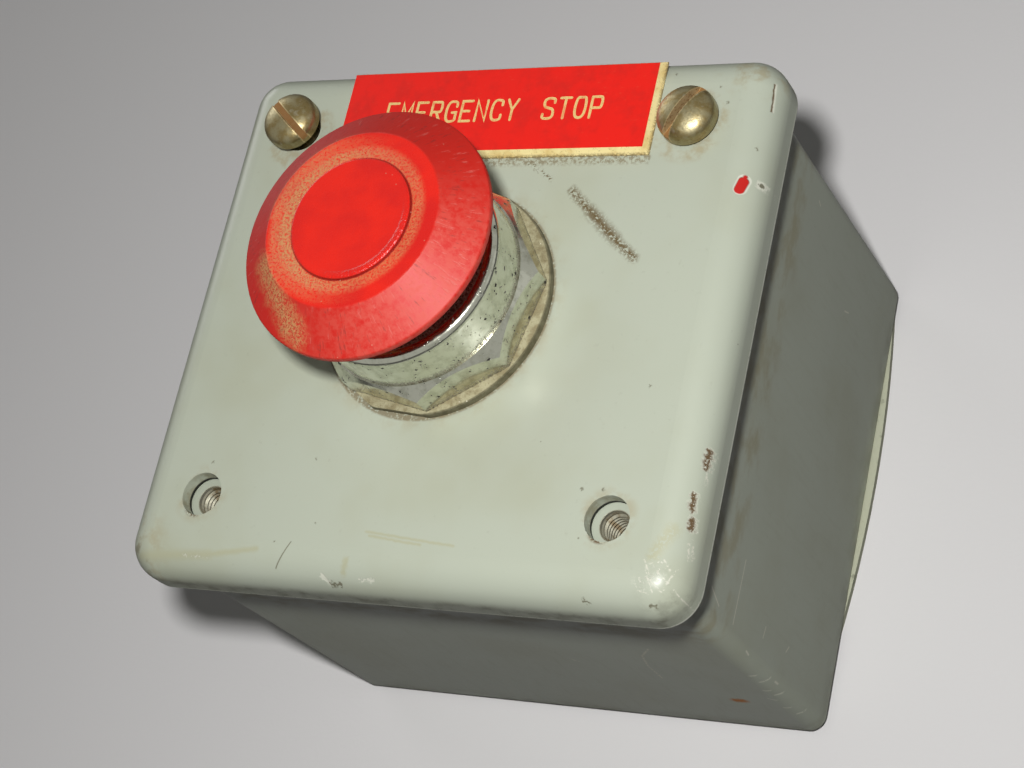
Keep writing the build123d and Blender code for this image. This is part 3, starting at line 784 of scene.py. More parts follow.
# ---------------------------------------------------------------- other finishes
@dataclass(frozen=True)
class HeadPlastic:
    """Red moulded plastic: a clean disc, dust in the step round it and a scuffed flank, with painted sheen
    and painted shade on the flank and painted shade under the head.
    """

    name: str
    layout: Layout
    disc_radius: float = 9.8
    step_radius: float = 14.2

    def material(self) -> bpy.types.Material:
        """Builds the head's plastic.

        Returns:
            The material.
        """
        graph = Graph(self.name)
        where = graph.place()
        lay = self.layout
        ring, angle = about(graph, where, lay.axis)
        _, _, z = where.parts()
        soft = graph.noise(where, 0.12, 3.0, 0.6)
        grit = graph.noise(where, 2.6, 2.0, 0.75)
        wear = graph.noise(where, 0.8, 4.0, 0.7)
        colour = graph.blend(tint(233, 34, 18), tint(214, 28, 20), soft.rise(0.35, 0.7))
        flank = ring.rise(self.step_radius - 0.25, self.step_radius + 0.25)
        # Painted light on the flank: a lighter pink painted sheen on the side towards the flash, broken up
        # by wear noise, and a deeper red painted shade on the far side
        facing = (angle + 40.0).size().rise(95.0, 25.0)
        shaded = (angle - 95.0).size().rise(95.0, 30.0)
        sheen_and_wear = facing * wear.rise(0.3, 0.62) * 0.75
        crimson = graph.blend(tint(206, 34, 24), tint(214, 84, 70), sheen_and_wear)
        crimson = graph.blend(crimson, tint(196, 30, 16), shaded * 0.8)
        colour = graph.blend(colour, crimson, flank)
        # Fine scratches run out over the flank and round it
        polar = graph.node("ShaderNodeCombineXYZ", {}, {0: angle * 0.45, 1: ring * 0.25, 2: z * 0.1})
        spokes = graph.noise(Place(graph, polar.outputs[0]), 1.4, 2.0, 0.6)
        scratched = flank * spokes.rise(0.60, 0.70) * wear.rise(0.40, 0.6)
        colour = graph.blend(colour, tint(214, 110, 100), scratched * 0.5)
        scored = flank * spokes.rise(0.40, 0.33) * wear.rise(0.42, 0.6)
        colour = graph.blend(colour, tint(140, 40, 34), scored * 0.55)
        # Tan dust lies in the step, more of it towards the left
        left = (angle.size() - 180.0).size().rise(120.0, 20.0)
        bed = ring.within(self.disc_radius + 0.35, self.disc_radius + 1.3, 1.4)
        drift = ring.within(self.disc_radius + 0.6, self.step_radius - 1.2, 1.2) * left
        swipe = Mark(Stain.HANDLING, (-14.2, -5.4, 0.0), (-7.4, -15.6, 0.0), 2.6, 2.2)
        wedge = graph.stroke(graph.warped(where, 0.5, 3.0), swipe) * ring.rise(13.2, 14.6)
        fringe = (angle - 160.0).size().rise(70.0, 30.0) * ring.within(13.6, 14.6, 0.7)
        dust = (bed * 0.50 + drift * 0.58 + wedge * 0.95 + fringe * 0.25) * (0.4 + wear * 1.0)
        grains = grit.rise(0.66, 0.42)
        dust = (dust.clamped() * (0.12 + grains * 1.05)).clamped()
        dust = dust * ring.rise(self.disc_radius, self.disc_radius + 0.3)
        colour = graph.blend(colour, tint(206, 150, 96), dust * 0.9)
        groove = ring.within(self.disc_radius - 0.02, self.disc_radius + 0.12, 0.12)
        colour = graph.blend(colour, tint(120, 30, 22), groove * 0.75)
        # Painted shade: the head's underside is painted dark red-brown
        under = z.rise(lay.head_top - 5.2, lay.head_top - 6.4)
        colour = graph.blend(colour, tint(74, 18, 14), under * 0.8)
        specks = graph.specks(where, 0.9, 0.10, 0.10)
        colour = graph.blend(colour, tint(214, 176, 150), specks * 0.5)
        rough = 0.25 + flank * 0.25 + dust * 0.35 + wear.rise(0.4, 0.7) * 0.08
        height = grains * dust * 0.05 + wear * 0.012 - scratched * 0.02 + soft * 0.10
        chips = ring.within(9.0, 9.7, 0.4) * (angle + 45.0).size().rise(70.0, 40.0)
        height = height + graph.noise(where, 2.4, 2.0, 0.6) * chips * 0.16
        inputs = {"Base Color": colour, "Roughness": rough.clamped(), "Specular IOR Level": 0.4}
        return graph.surface(inputs, height)


@dataclass(frozen=True)
class Plating:
    """Bright chrome plate with black pits and dirt in its corners.

    Attributes:
        name: The material's name.
        layout: Where the station's features are.
        foot: Height where dirt gathers.
        crown: Height above which the rim is clean and bright.
        bore: Radius within which dirt lies below the rim.
    """

    name: str
    layout: Layout
    foot: float
    crown: float
    bore: float = 14.8

    def material(self) -> bpy.types.Material:
        """Builds the plate.

        Returns:
            The material.
        """
        graph = Graph(self.name)
        where = graph.place()
        ring, _ = about(graph, where, self.layout.axis)
        _, _, z = where.parts()
        smear = graph.noise(where, 0.5, 4.0, 0.65)
        grit = graph.noise(where, 2.8, 3.0, 0.7)
        torn = graph.warped(where, 1.3, 0.8)
        pits = graph.specks(torn, 0.7, 0.24, 0.5) * smear.rise(0.44, 0.54)
        fine = graph.specks(torn + (7, 3, 5), 1.9, 0.30, 0.4) * smear.rise(0.48, 0.58)
        pits = (pits + fine).clamped()
        dirt = z.rise(self.foot + 1.5, self.foot) * grit.rise(0.40, 0.6)
        inner = ring.rise(self.bore + 0.6, self.bore) * z.rise(self.crown - 1.2, self.crown - 0.4)
        colour = graph.blend(tint(212, 213, 198), tint(186, 187, 170), smear.rise(0.4, 0.7))
        colour = graph.blend(colour, tint(104, 90, 66), dirt * 0.85)
        colour = graph.blend(colour, tint(110, 84, 66), inner * grit.rise(0.3, 0.62))
        colour = graph.blend(colour, tint(34, 30, 26), pits)
        lost = (pits + dirt * 0.8 + inner * 0.8).clamped()
        rough = 0.13 + smear.rise(0.35, 0.75) * 0.12 + lost * 0.45
        height = smear * 0.03 + graph.noise(where, 0.16, 1.0) * 0.10 - pits * 0.03
        inputs = {"Base Color": colour, "Roughness": rough.clamped(), "Metallic": 1 - lost * 0.75}
        return graph.surface(inputs, height)


@dataclass(frozen=True)
class Fibre:
    """The soiled cream washer under the nut, dark along its cut edge."""

    name: str
    layout: Layout

    def material(self) -> bpy.types.Material:
        """Builds the washer's fibre.

        Returns:
            The material.
        """
        graph = Graph(self.name)
        where = graph.place()
        ring, _ = about(graph, where, self.layout.axis)
        _, _, z = where.parts()
        cloud = graph.noise(where, 0.45, 4.0, 0.65)
        grain = graph.noise(where, 3.5, 2.0, 0.7)
        colour = graph.blend(tint(172, 166, 134), tint(138, 128, 96), cloud.rise(0.38, 0.62))
        colour = graph.blend(colour, tint(112, 98, 68), grain.rise(0.52, 0.70) * 0.6)
        top = z.rise(self.layout.nut_base - 0.35, self.layout.nut_base - 0.1)
        edge = 1 - top * ring.rise(self.layout.washer_radius - 0.15, self.layout.washer_radius - 0.4)
        colour = graph.blend(colour, tint(74, 70, 48), edge.clamped() * (0.45 + cloud * 0.6))
        glints = graph.specks(where, 0.8, 0.12, 0.12)
        colour = graph.blend(colour, tint(236, 230, 208), glints)
        inputs = {"Base Color": colour, "Roughness": (0.50 + grain * 0.25).clamped()}
        return graph.surface(inputs, grain * 0.05 + cloud * 0.12)


@dataclass(frozen=True)
class WornBrass:
    """Old brass screws under thin nickel, tarnished, with brown dirt in their slots and a painted
    highlight along the slots' worn edges.

    Attributes:
        name: The material's name.
        slots: Each head's X, Y, crown height and slot angle in degrees.
        slot_depth: How deep the slots are.
        slot_half: Half their width.
        head_radius: The radius within which they show.
    """

    name: str
    slots: tuple[tuple[float, float, float, float], ...] = ()
    slot_depth: float = 2.2
    slot_half: float = 0.62
    head_radius: float = 4.9

    def material(self) -> bpy.types.Material:
        """Builds the brass.

        Returns:
            The material.
        """
        graph = Graph(self.name)
        where = graph.place()
        cloud = graph.noise(where, 0.42, 4.0, 0.6)
        grain = graph.noise(where, 2.6, 3.0, 0.65)
        colour = graph.blend(tint(164, 154, 120), tint(146, 128, 84), cloud.rise(0.38, 0.6))
        colour = graph.blend(colour, tint(188, 182, 160), cloud.rise(0.58, 0.75) * 0.8)
        colour = graph.blend(colour, tint(110, 92, 58), grain.rise(0.55, 0.75) * 0.55)
        rough = 0.36 + grain.rise(0.4, 0.7) * 0.16
        lost = grain.rise(0.66, 0.8) * 0.5
        for x, y, crown, turn in self.slots:
            cross = (-math.sin(math.radians(turn)), math.cos(math.radians(turn)), 0.0)
            offset = (where - (x, y, 0.0)) * Face.FRONT.value
            aside = offset.dot(cross).size()
            near = offset.length().rise(self.head_radius + 0.3, self.head_radius)
            _, _, z = where.parts()
            bottom = z.rise(crown - self.slot_depth * 1.4, crown - self.slot_depth * 1.3)
            cut = near * aside.rise(self.slot_half + 0.04, self.slot_half - 0.04) * bottom
            colour = graph.blend(colour, tint(158, 112, 62), cut * 0.85)
            # Painted highlight, partly wear: the slots' worn edges are painted pale
            edge = aside.within(self.slot_half - 0.02, self.slot_half + 0.12, 0.10)
            lip = near * edge * grain.rise(0.35, 0.5)
            colour = graph.blend(colour, tint(206, 186, 140), lip * 0.7)
            lost = lost + cut * 0.5
            rough = rough + cut * 0.25
        metal = (0.95 - lost).clamped()
        inputs = {"Base Color": colour, "Roughness": rough.clamped(), "Metallic": metal}
        return graph.surface(inputs, grain * 0.02 + cloud * 0.08)


@dataclass(frozen=True)
class Laminate:
    """Engraving laminate: a red face over a cream core that its bevelled edge shows."""

    name: str
    layout: Layout

    def material(self) -> bpy.types.Material:
        """Builds the laminate.

        Returns:
            The material.
        """
        graph = Graph(self.name)
        where = graph.place()
        lay = self.layout
        _, _, z = where.parts()
        grain = graph.noise(where, 3.0, 2.0, 0.6)
        cloud = graph.noise(where, 0.25, 3.0, 0.6)
        top = z.rise(lay.label_high[2] - 0.10, lay.label_high[2] - 0.03)
        red = graph.blend(tint(244, 24, 8), tint(228, 25, 12), cloud.rise(0.4, 0.7))
        scuffs = graph.noise(where * (0.35, 1.0, 1.0), 2.2, 3.0, 0.65).rise(0.62, 0.72)
        red = graph.blend(red, tint(240, 90, 60), scuffs * 0.25)
        cream = graph.blend(tint(252, 234, 170), tint(222, 190, 118), cloud.rise(0.42, 0.7) * 0.8)
        cream = graph.blend(cream, tint(140, 104, 56), grain.rise(0.58, 0.76) * 0.5)
        colour = graph.blend(cream, red, top)
        low = z.rise(lay.label_high[2] - 0.7, lay.label_high[2] - 1.3)
        colour = graph.blend(colour, tint(112, 88, 52), low * grain.rise(0.32, 0.52) * 0.8)
        rough = 0.30 + grain * 0.10 + scuffs * 0.12
        inputs = {"Base Color": colour, "Roughness": rough.clamped()}
        return graph.surface(inputs, grain * 0.010 + cloud * 0.05)


@dataclass(frozen=True)
class CutCore:
    """The laminate's cream core at the bottom of an engraved stroke."""

    name: str

    def material(self) -> bpy.types.Material:
        """Builds the core.

        Returns:
            The material.
        """
        graph = Graph(self.name)
        where = graph.place()
        grain = graph.noise(where, 4.0, 3.0, 0.65)
        cloud = graph.noise(where, 0.6, 2.0, 0.6)
        colour = graph.blend(tint(242, 206, 134), tint(206, 156, 84), grain.rise(0.5, 0.72))
        colour = graph.blend(colour, tint(236, 120, 70), cloud.rise(0.5, 0.7) * 0.5)
        rough = (0.45 + grain * 0.2).clamped()
        return graph.surface({"Base Color": colour, "Roughness": rough}, grain * 0.03)


@dataclass(frozen=True)
class Rubber:
    """Matt sheet rubber, with dust and overspray on its cut edge.

    Attributes:
        name: The material's name.
        body: The rubber's colour.
        edge: The colour of what has settled on it.
        covered: How much of it is covered, from 0 to 1.
    """

    name: str
    body: Colour = tint(46, 44, 42)
    edge: Colour = tint(96, 90, 78)
    covered: float = 0.4

    def material(self) -> bpy.types.Material:
        """Builds the rubber.

        Returns:
            The material.
        """
        graph = Graph(self.name)
        where = graph.place()
        cloud = graph.noise(where, 0.5, 4.0, 0.6)
        grain = graph.noise(where, 4.0, 2.0, 0.7)
        cover = cloud.rise(0.72 - self.covered * 0.6, 0.86 - self.covered * 0.6)
        colour = graph.blend(self.body, self.edge, cover)
        inputs = {"Base Color": colour, "Roughness": (0.62 + grain * 0.25).clamped()}
        return graph.surface(inputs, grain * 0.02 + cloud * 0.10)


@dataclass(frozen=True)
class Moulding:
    """A moulded or machined inner part: one colour with flow marks and a little dust.

    Attributes:
        name: The material's name.
        body: Its colour.
        flow: The colour of its flow marks.
        rough: Its roughness.
        metal: How metallic it is.
        drawn: The direction that its marks run in, as stretching of the noise.
    """

    name: str
    body: Colour
    flow: Colour
    rough: float = 0.4
    metal: float = 0.0
    drawn: Triple = (1.0, 1.0, 0.25)

    def material(self) -> bpy.types.Material:
        """Builds the material.

        Returns:
            The material.
        """
        graph = Graph(self.name)
        where = graph.place()
        streaks = graph.noise(where * self.drawn, 0.9, 3.0, 0.6)
        grain = graph.noise(where, 3.4, 2.0, 0.6)
        colour = graph.blend(self.body, self.flow, streaks.rise(0.42, 0.7))
        inputs = {
            "Base Color": colour,
            "Roughness": (self.rough + grain.rise(0.3, 0.8) * 0.15).clamped(),
            "Metallic": self.metal,
        }
        return graph.surface(inputs, grain * 0.01 + streaks * 0.03)


# ---------------------------------------------------------------- sub-assemblies
def dress(frame: dict[str, Any], names: tuple[str, ...], finish: bpy.types.Material) -> None:
    """Gives carried-over nodes a finish.

    Args:
        names: The nodes.
        finish: Their material.
    """
    for name in names:
        node = frame["nodes"][name]
        node.data.materials.clear()
        node.data.materials.append(finish)
        LOG.info("dressed %s in %s", name, finish.name)


def skin(mesh: bmesh.types.BMesh, rings: list[list[bmesh.types.BMVert]]) -> None:
    """Joins rings of points into a tube with closed ends.

    Args:
        mesh: The mesh that they are in.
        rings: The rings in their order, each with as many points.
    """
    sides = len(rings[0])
    for first, second in zip(rings, rings[1:]):
        for a in range(sides):
            b = (a + 1) % sides
            mesh.faces.new((first[a], first[b], second[b], second[a]))
    mesh.faces.new(rings[0])
    mesh.faces.new(list(reversed(rings[-1])))


def stand(mesh: bmesh.types.BMesh, name: str) -> bpy.types.Object:
    """Puts a finished closed mesh in the scene.

    Args:
        mesh: The mesh, which is freed.
        name: The piece's name.

    Returns:
        The new object.
    """
    bmesh.ops.recalc_face_normals(mesh, faces=mesh.faces)
    data = bpy.data.meshes.new(name)
    mesh.to_mesh(data)
    mesh.free()
    piece = bpy.data.objects.new(name, data)
    bpy.context.scene.collection.objects.link(piece)
    return piece


@dataclass
class Threads:
    """Thread ridges that stand in the posts' open tapped holes.

    Attributes:
        wall: The tapped hole's radius.
        crest: The thread's inner radius.
        pitch: From one ridge to the next.
        turns: How many turns can be seen.
        depth: From the lid's face down to the first ridge.
        steps: Sections to a turn.
    """

    wall: float = 2.45
    crest: float = 2.08
    pitch: float = 0.8
    turns: float = 12.0
    depth: float = 3.45
    steps: int = 40

    def build(self, name: str, point: tuple[float, float], face: float) -> bpy.types.Object:
        """Makes one hole's ridge as a closed helical band.

        Args:
            name: The piece's name.
            point: The hole's axis, in millimetres.
            face: The height of the lid's face, in millimetres.

        Returns:
            The new object.
        """
        mesh = bmesh.new()
        count = int(self.turns * self.steps)
        half = self.pitch * 0.46
        rings = []
        for index in range(count + 1):
            angle = math.tau * index / self.steps
            fade = min(1.0, index / self.steps, (count - index) / self.steps)
            crest = self.wall - (self.wall - self.crest) * max(fade, 0.02)
            level = face - self.depth - half - self.pitch * index / self.steps
            ring = []
            for radius, drop in ((self.wall, half), (crest, 0.08), (crest, -0.08), (self.wall, -half)):
                x = point[0] + radius * math.cos(angle)
                y = point[1] + radius * math.sin(angle)
                ring.append(mesh.verts.new((x * MM, y * MM, (level + drop) * MM)))
            rings.append(ring)
        skin(mesh, rings)
        return stand(mesh, name)


@dataclass(frozen=True)
class Coil:
    """A compression spring, made as a helix of round wire in the plain spring's place.

    Attributes:
        name: The piece's name.
        node: The plain spring that it stands for.
        body: The moving body at its upper end; not used.
        wire: The wire's diameter, in millimetres.
        turns: How many turns it has.
        steps: Sections to a turn.
        sides: Sides of the wire.
    """

    name: str
    node: str
    body: str
    wire: float
    turns: int
    steps: int = 36
    sides: int = 12

    def build(self) -> bpy.types.Object:
        """Makes the spring in the plain one's place.

        Returns:
            The new object.
        """
        low, high = (Vector(corner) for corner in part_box(self.node))
        thick = self.wire * MM / 2
        middle = (low + high) / 2
        reach = (high.x - low.x) / 2 - thick
        climb = (high.z - low.z - 2 * thick) / self.turns
        mesh = bmesh.new()
        rings = []
        for index in range(self.turns * self.steps + 1):
            turn = index / self.steps
            outward = Vector((math.cos(math.tau * turn), math.sin(math.tau * turn), 0.0))
            run = Vector((-outward.y * reach, outward.x * reach, climb / math.tau)).normalized()
            across = run.cross(outward)
            centre = Vector((middle.x, middle.y, low.z + thick + climb * turn)) + outward * reach
            ring = []
            for side in range(self.sides):
                around = math.tau * side / self.sides
                point = centre + (outward * math.cos(around) + across * math.sin(around)) * thick
                ring.append(mesh.verts.new(point))
            rings.append(ring)
        skin(mesh, rings)
        for face in mesh.faces:
            face.smooth = len(face.verts) == 4
        piece = stand(mesh, self.name)
        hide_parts(self.node)
        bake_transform(piece)
        return piece


class Pen(Enum):
    """How a stroke's corners are cut."""

    SHARP = 0
    ROUND = 3


@dataclass(frozen=True)
class Stroke:
    """One engraved line of a letter, on a letter one wide and one high."""

    points: tuple[tuple[float, float], ...]
    pen: Pen = Pen.SHARP


# Plain single-line capitals, as a pantograph engraves them
CAPITALS: dict[str, tuple[Stroke, ...]] = {
    "E": (Stroke(((1, 1), (0, 1), (0, 0), (1, 0))), Stroke(((0, 0.5), (0.8, 0.5)))),
    "M": (Stroke(((0, 0), (0, 1), (0.5, 0.3), (1, 1), (1, 0))),),
    "R": (
        Stroke(((0, 0), (0, 1))),
        Stroke(((0, 1), (0.6, 1), (1, 1), (1, 0.5), (0.6, 0.5), (0, 0.5)), Pen.ROUND),
        Stroke(((0.5, 0.5), (1, 0))),
    ),
    "G": (
        Stroke(((1, 0.75), (1, 1), (0, 1), (0, 0), (1, 0), (1, 0.25)), Pen.ROUND),
        Stroke(((1, 0.3), (1, 0.45), (0.6, 0.45))),
    ),
    "N": (Stroke(((0, 0), (0, 1), (1, 0), (1, 1))),),
    "C": (Stroke(((1, 0.75), (1, 1), (0, 1), (0, 0), (1, 0), (1, 0.25)), Pen.ROUND),),
    "Y": (Stroke(((0, 1), (0.5, 0.5), (1, 1))), Stroke(((0.5, 0.5), (0.5, 0)))),
    "S": (
        Stroke(
            ((1, 0.78), (1, 1), (0, 1), (0, 0.6), (0.5, 0.52), (1, 0.44), (1, 0), (0, 0), (0, 0.22)),
            Pen.ROUND,
        ),
    ),
    "T": (Stroke(((0, 1), (1, 1))), Stroke(((0.5, 1), (0.5, 0)))),
    "O": (Stroke(((0.5, 1), (0, 1), (0, 0), (1, 0), (1, 1), (0.5, 1)), Pen.ROUND),),
    "P": (
        Stroke(((0, 0), (0, 1))),
        Stroke(((0, 1), (0.6, 1), (1, 1), (1, 0.46), (0.6, 0.46), (0, 0.46)), Pen.ROUND),
    ),
}


@dataclass
class Legend:
    """The plate's legend: what this kind of button does, in plain engraved capitals.

    Attributes:
        words: Each word and the X of its first letter, in millimetres.
        pitch: From one letter to the next.
        wide: A letter's width between its strokes' middles.
        high: A letter's height, likewise.
        line: A stroke's width.
        middle: The letters' middle, above the plate's lower edge.
        lip: How far a stroke's edges stand over the plate's face.
    """

    words: tuple[tuple[str, float], ...] = (("EMERGENCY", -18.35), ("STOP", 10.25))
    pitch: float = 2.76
    wide: float = 1.78
    high: float = 3.62
    line: float = 0.46
    middle: float = 7.9
    lip: float = 0.025

    def rounded(self, points: list[Vector], passes: int) -> list[Vector]:
        """A line with its corners cut over and over.

        Args:
            points: The line.
            passes: How many times each corner is cut.

        Returns:
            The smoother line, with the same ends.
        """
        for _ in range(passes):
            cut = [points[0]]
            for a, b in zip(points, points[1:]):
                cut += [a.lerp(b, 0.25), a.lerp(b, 0.75)]
            points = cut + [points[-1]]
        return points

    def groove(self, mesh: bmesh.types.BMesh, points: list[Vector], level: float) -> None:
        """Adds one stroke as a shallow trough with round ends.

        Args:
            mesh: The mesh that it joins.
            points: The stroke's middle line, in millimetres.
            level: The plate's face.
        """
        stations = []
        first, last = (points[0] - points[1]).normalized(), (points[-1] - points[-2]).normalized()
        half = self.line / 2
        for turn in (80, 55, 28):
            angle = math.radians(turn)
            stations.append((points[0] + first * half * math.sin(angle), -first, half * math.cos(angle)))
        for index, point in enumerate(points):
            before = (point - points[index - 1]).normalized() if index else -first
            after = (points[index + 1] - point).normalized() if index + 1 < len(points) else last
            middle = (before + after).normalized() if (before + after).length > 0.1 else before
            stations.append((point, middle, half / max(middle.dot(before), 0.5)))
        for turn in (28, 55, 80):
            angle = math.radians(turn)
            stations.append((points[-1] + last * half * math.sin(angle), last, half * math.cos(angle)))
        rings = []
        for point, along, reach in stations:
            side = Vector((-along.y, along.x))
            ring = []
            for share, height in ((-1, -0.02), (-1, self.lip), (0, 0.004), (1, self.lip), (1, -0.02)):
                spot = point + side * reach * share
                ring.append(mesh.verts.new((spot.x * MM, spot.y * MM, (level + height) * MM)))
            rings.append(ring)
        skin(mesh, rings)

    def build(self, layout: Layout) -> bpy.types.Object:
        """Makes the legend's strokes as one mesh.

        Args:
            layout: Where the plate is.

        Returns:
            The legend.
        """
        mesh = bmesh.new()
        low = layout.label_low[1] + self.middle - self.high / 2
        for word, start in self.words:
            for place, letter in enumerate(word):
                for stroke in CAPITALS[letter]:
                    points = [
                        Vector((start + self.pitch * place + x * self.wide, low + y * self.high))
                        for x, y in stroke.points
                    ]
                    self.groove(mesh, self.rounded(points, stroke.pen.value), layout.label_high[2])
        return stand(mesh, "label_legend")


@dataclass
class Enclosure:
    """The box, its lid and what is fixed to them.

    Attributes:
        layout: Where the station's features are.
        threads: The ridges for the open holes.
        legend: The plate's legend.
    """

    layout: Layout
    threads: Threads = field(default_factory=Threads)
    legend: Legend = field(default_factory=Legend)

    def lid_marks(self) -> tuple[Mark, ...]:
        """Lists the lid's chips, scuffs and scratches.

        Returns:
            The marks, oldest first.
        """
        top = self.layout.face
        marks = [
            Mark(Stain.HANDLING, (-44.5, -42.4, top), (-31.0, -41.5, top), 1.0, 0.7, 0.2),
            Mark(Stain.HANDLING, (-31.0, -41.5, top), (-22.5, -40.2, top), 0.5, 0.5, 0.2),
            Mark(Stain.HANDLING, (-3.8, -36.3, top), (11.5, -37.6, top), 0.35, 0.2, 0.1),
            Mark(Stain.HANDLING, (-3.1, -36.9, top), (6.0, -37.8, top), 0.35, 0.2, 0.1),
            Mark(Stain.HANDLING, (-6.2, -40.8, top), (-6.7, -42.6, top), 0.9, 0.4, 0.4),
            Mark(Stain.GRAPHITE, (-16.5, -38.7, top), (-17.4, -40.4, top), 0.14, 0.1, 0.0),
            Mark(Stain.GRAPHITE, (-17.4, -40.4, top), (-18.8, -42.7, top), 0.16, 0.1, 0.0),
            Mark(Stain.GRAPHITE, (-9.4, -44.0, top), (-7.6, -44.0, top), 0.4, 0.15, 0.4),
            Mark(Stain.GRAPHITE, (33.0, -43.6, top), (33.9, -43.8, top), 0.35, 0.12, 0.4),
            Mark(Stain.GRAPHITE, (43.4, -43.6, top), (44.5, -43.4, top), 0.35, 0.12, 0.4),
            Mark(Stain.PRIMER, (-10.6, -43.2, top), (-9.5, -43.9, top), 0.6, 0.15, 0.4),
            Mark(Stain.PRIMER, (-4.1, -43.3, top), (-1.5, -43.3, top), 0.4, 0.15, 0.4, 0.2),
            Mark(Stain.PRIMER, (-35.9, -41.9, top), (-31.3, -41.9, top), 0.3, 0.15, 0.4, 0.5),
            # The brown scuff that runs down to the right of the operator
            Mark(Stain.SCUFF, (9.1, 26.0, top), (13.5, 23.0, top), 0.5, 0.6, 0.4, 0.6),
            Mark(Stain.SCUFF, (17.8, 20.8, top), (21.5, 17.4, top), 1.0, 0.8, 0.4, 0.3),
            Mark(Stain.SCUFF, (21.5, 17.4, top), (27.0, 12.4, top), 1.5, 0.9, 0.4, 0.15),
            Mark(Stain.SCUFF, (27.0, 12.4, top), (30.6, 9.4, top), 1.1, 0.8, 0.4, 0.25),
            # A splash of red paint in a pale outline
            Mark(Stain.PRIMER, (45.15, 21.1, top), (45.5, 22.6, top), 1.9, 0.12, 0.0),
            Mark(Stain.RED_PAINT, (45.1, 21.0, top), (45.45, 22.4, top), 1.45, 0.1, 0.0),
            Mark(Stain.RED_PAINT, (45.45, 22.6, top), (45.6, 23.2, top), 0.6, 0.15, 0.0),
            Mark(Stain.PRIMER, (47.5, 22.5, top), (47.6, 22.9, top), 1.1, 0.2, 0.4),
            Mark(Stain.GRAPHITE, (47.5, 22.7, top), (47.6, 22.8, top), 0.5, 0.12, 0.4),
            Mark(Stain.PRIMER, (47.0, 39.6, top), (47.2, 35.0, top), 0.22, 0.12, 0.0),
            Mark(Stain.RUST, (46.9, 39.6, top), (47.1, 35.0, top), 0.20, 0.1, 0.1),
        ]
        for start, end, wide in (
            ((47.6, -19.8, top), (47.5, -22.6, top), 0.55),
            ((46.9, -26.8, top), (47.0, -29.2, top), 0.6),
            ((47.2, -30.4, top), (47.3, -32.0, top), 0.6),
        ):
            marks.append(Mark(Stain.PRIMER, start, end, wide + 0.25, 0.2, 0.4))
            marks.append(Mark(Stain.RUST, start, end, wide, 0.2, 0.4, 0.05))
        scratches = (
            ((47.7, -23.2), (47.8, -24.9)), ((47.6, -33.2), (47.9, -36.1)), ((47.3, -34.0), (47.6, -36.4)),
            ((44.4, -39.0), (45.9, -40.3)), ((43.6, -40.4), (45.2, -41.8)), ((45.4, -41.4), (46.9, -37.8)),
            ((42.8, -39.2), (44.0, -41.9)), ((46.6, -41.0), (47.5, -42.0)), ((41.5, -41.9), (43.4, -42.2)),
            ((44.9, -37.2), (45.9, -38.6)), ((42.3, -37.6), (43.3, -39.5)),
        )
        for start, end in scratches:
            marks.append(Mark(Stain.SCRATCH, (*start, top), (*end, top), 0.14, 0.12, 0.1, 0.35))
        dots = (
            (31.0, 41.1), (39.0, 38.4), (40.7, 35.5), (46.3, 28.2), (30.3, -27.6), (33.7, -27.5),
            (-15.9, -25.1), (-13.1, -35.4), (-34.7, -26.5), (37.6, -11.3), (-19.5, -38.9),
        )
        for x, y in dots:
            marks.append(Mark(Stain.GRAPHITE, (x, y, top), (x, y, top), 0.35, 0.2, 0.4))
        marks.append(Mark(Stain.HANDLING, (43.4, -37.0, top), (45.4, -32.6, top), 1.2, 1.0, 0.4, 0.2))
        marks.append(Mark(Stain.PRIMER, (42.6, -41.0, top), (44.6, -38.4, top), 1.6, 1.2, 0.4, 0.62))
        return tuple(marks)

    def body_marks(self) -> tuple[Mark, ...]:
        """Lists the box's scratches, the chips along its corner and its rust spot.

        Returns:
            The marks, oldest first.
        """
        right, lower = self.layout.wall_right, self.layout.wall_lower
        sides = (
            ((-27.1, 47.2), (-37.4, 47.6)), ((-35.0, 57.8), (-36.7, 54.0)), ((-33.6, 34.7), (-35.5, 35.1)),
            ((24.7, 25.6), (25.2, 23.8)), ((35.3, 44.8), (34.9, 43.9)), ((-33.4, 23.8), (-34.5, 24.7)),
            ((-39.3, 40.3), (-39.5, 38.9)), ((-39.8, 26.0), (-39.8, 24.6)),
        )
        marks = [
            Mark(Stain.SCRATCH, (right, *start), (right, *end), 0.22, 0.14, 0.0, 0.0, Face.SIDE)
            for start, end in sides
        ]
        arc = ((29.9, 43.1), (27.1, 38.7), (25.8, 33.2), (25.6, 26.6))
        for (x0, z0), (x1, z1) in (*zip(arc, arc[1:]), ((12.0, 33.0), (13.0, 32.0))):
            marks.append(
                Mark(Stain.SCRATCH, (x0, lower, z0), (x1, lower, z1), 0.24, 0.2, 0.1, 0.25, Face.LOWER)
            )
        chips = (
            (43.3, 32.2, 0.9), (43.8, 28.6, 1.3), (42.9, 24.6, 0.8), (43.8, 21.6, 1.0),
            (42.2, 19.9, 1.2), (43.0, 15.0, 0.8), (43.9, 10.9, 0.9),
        )
        for x, z, long in chips:
            start = (x - long / 2, lower + 0.4, z + long / 3)
            end = (x + long / 2, lower + 0.4, z - long / 3)
            marks.append(Mark(Stain.PRIMER, start, end, 0.36, 0.2, 0.2, 0.1, Face.LOWER))
        spot = (34.9, lower, 17.1), (36.2, lower, 17.3)
        marks.append(Mark(Stain.OCHRE, *spot, 1.7, 0.7, 0.4, 0.0, Face.LOWER))
        return tuple(marks)

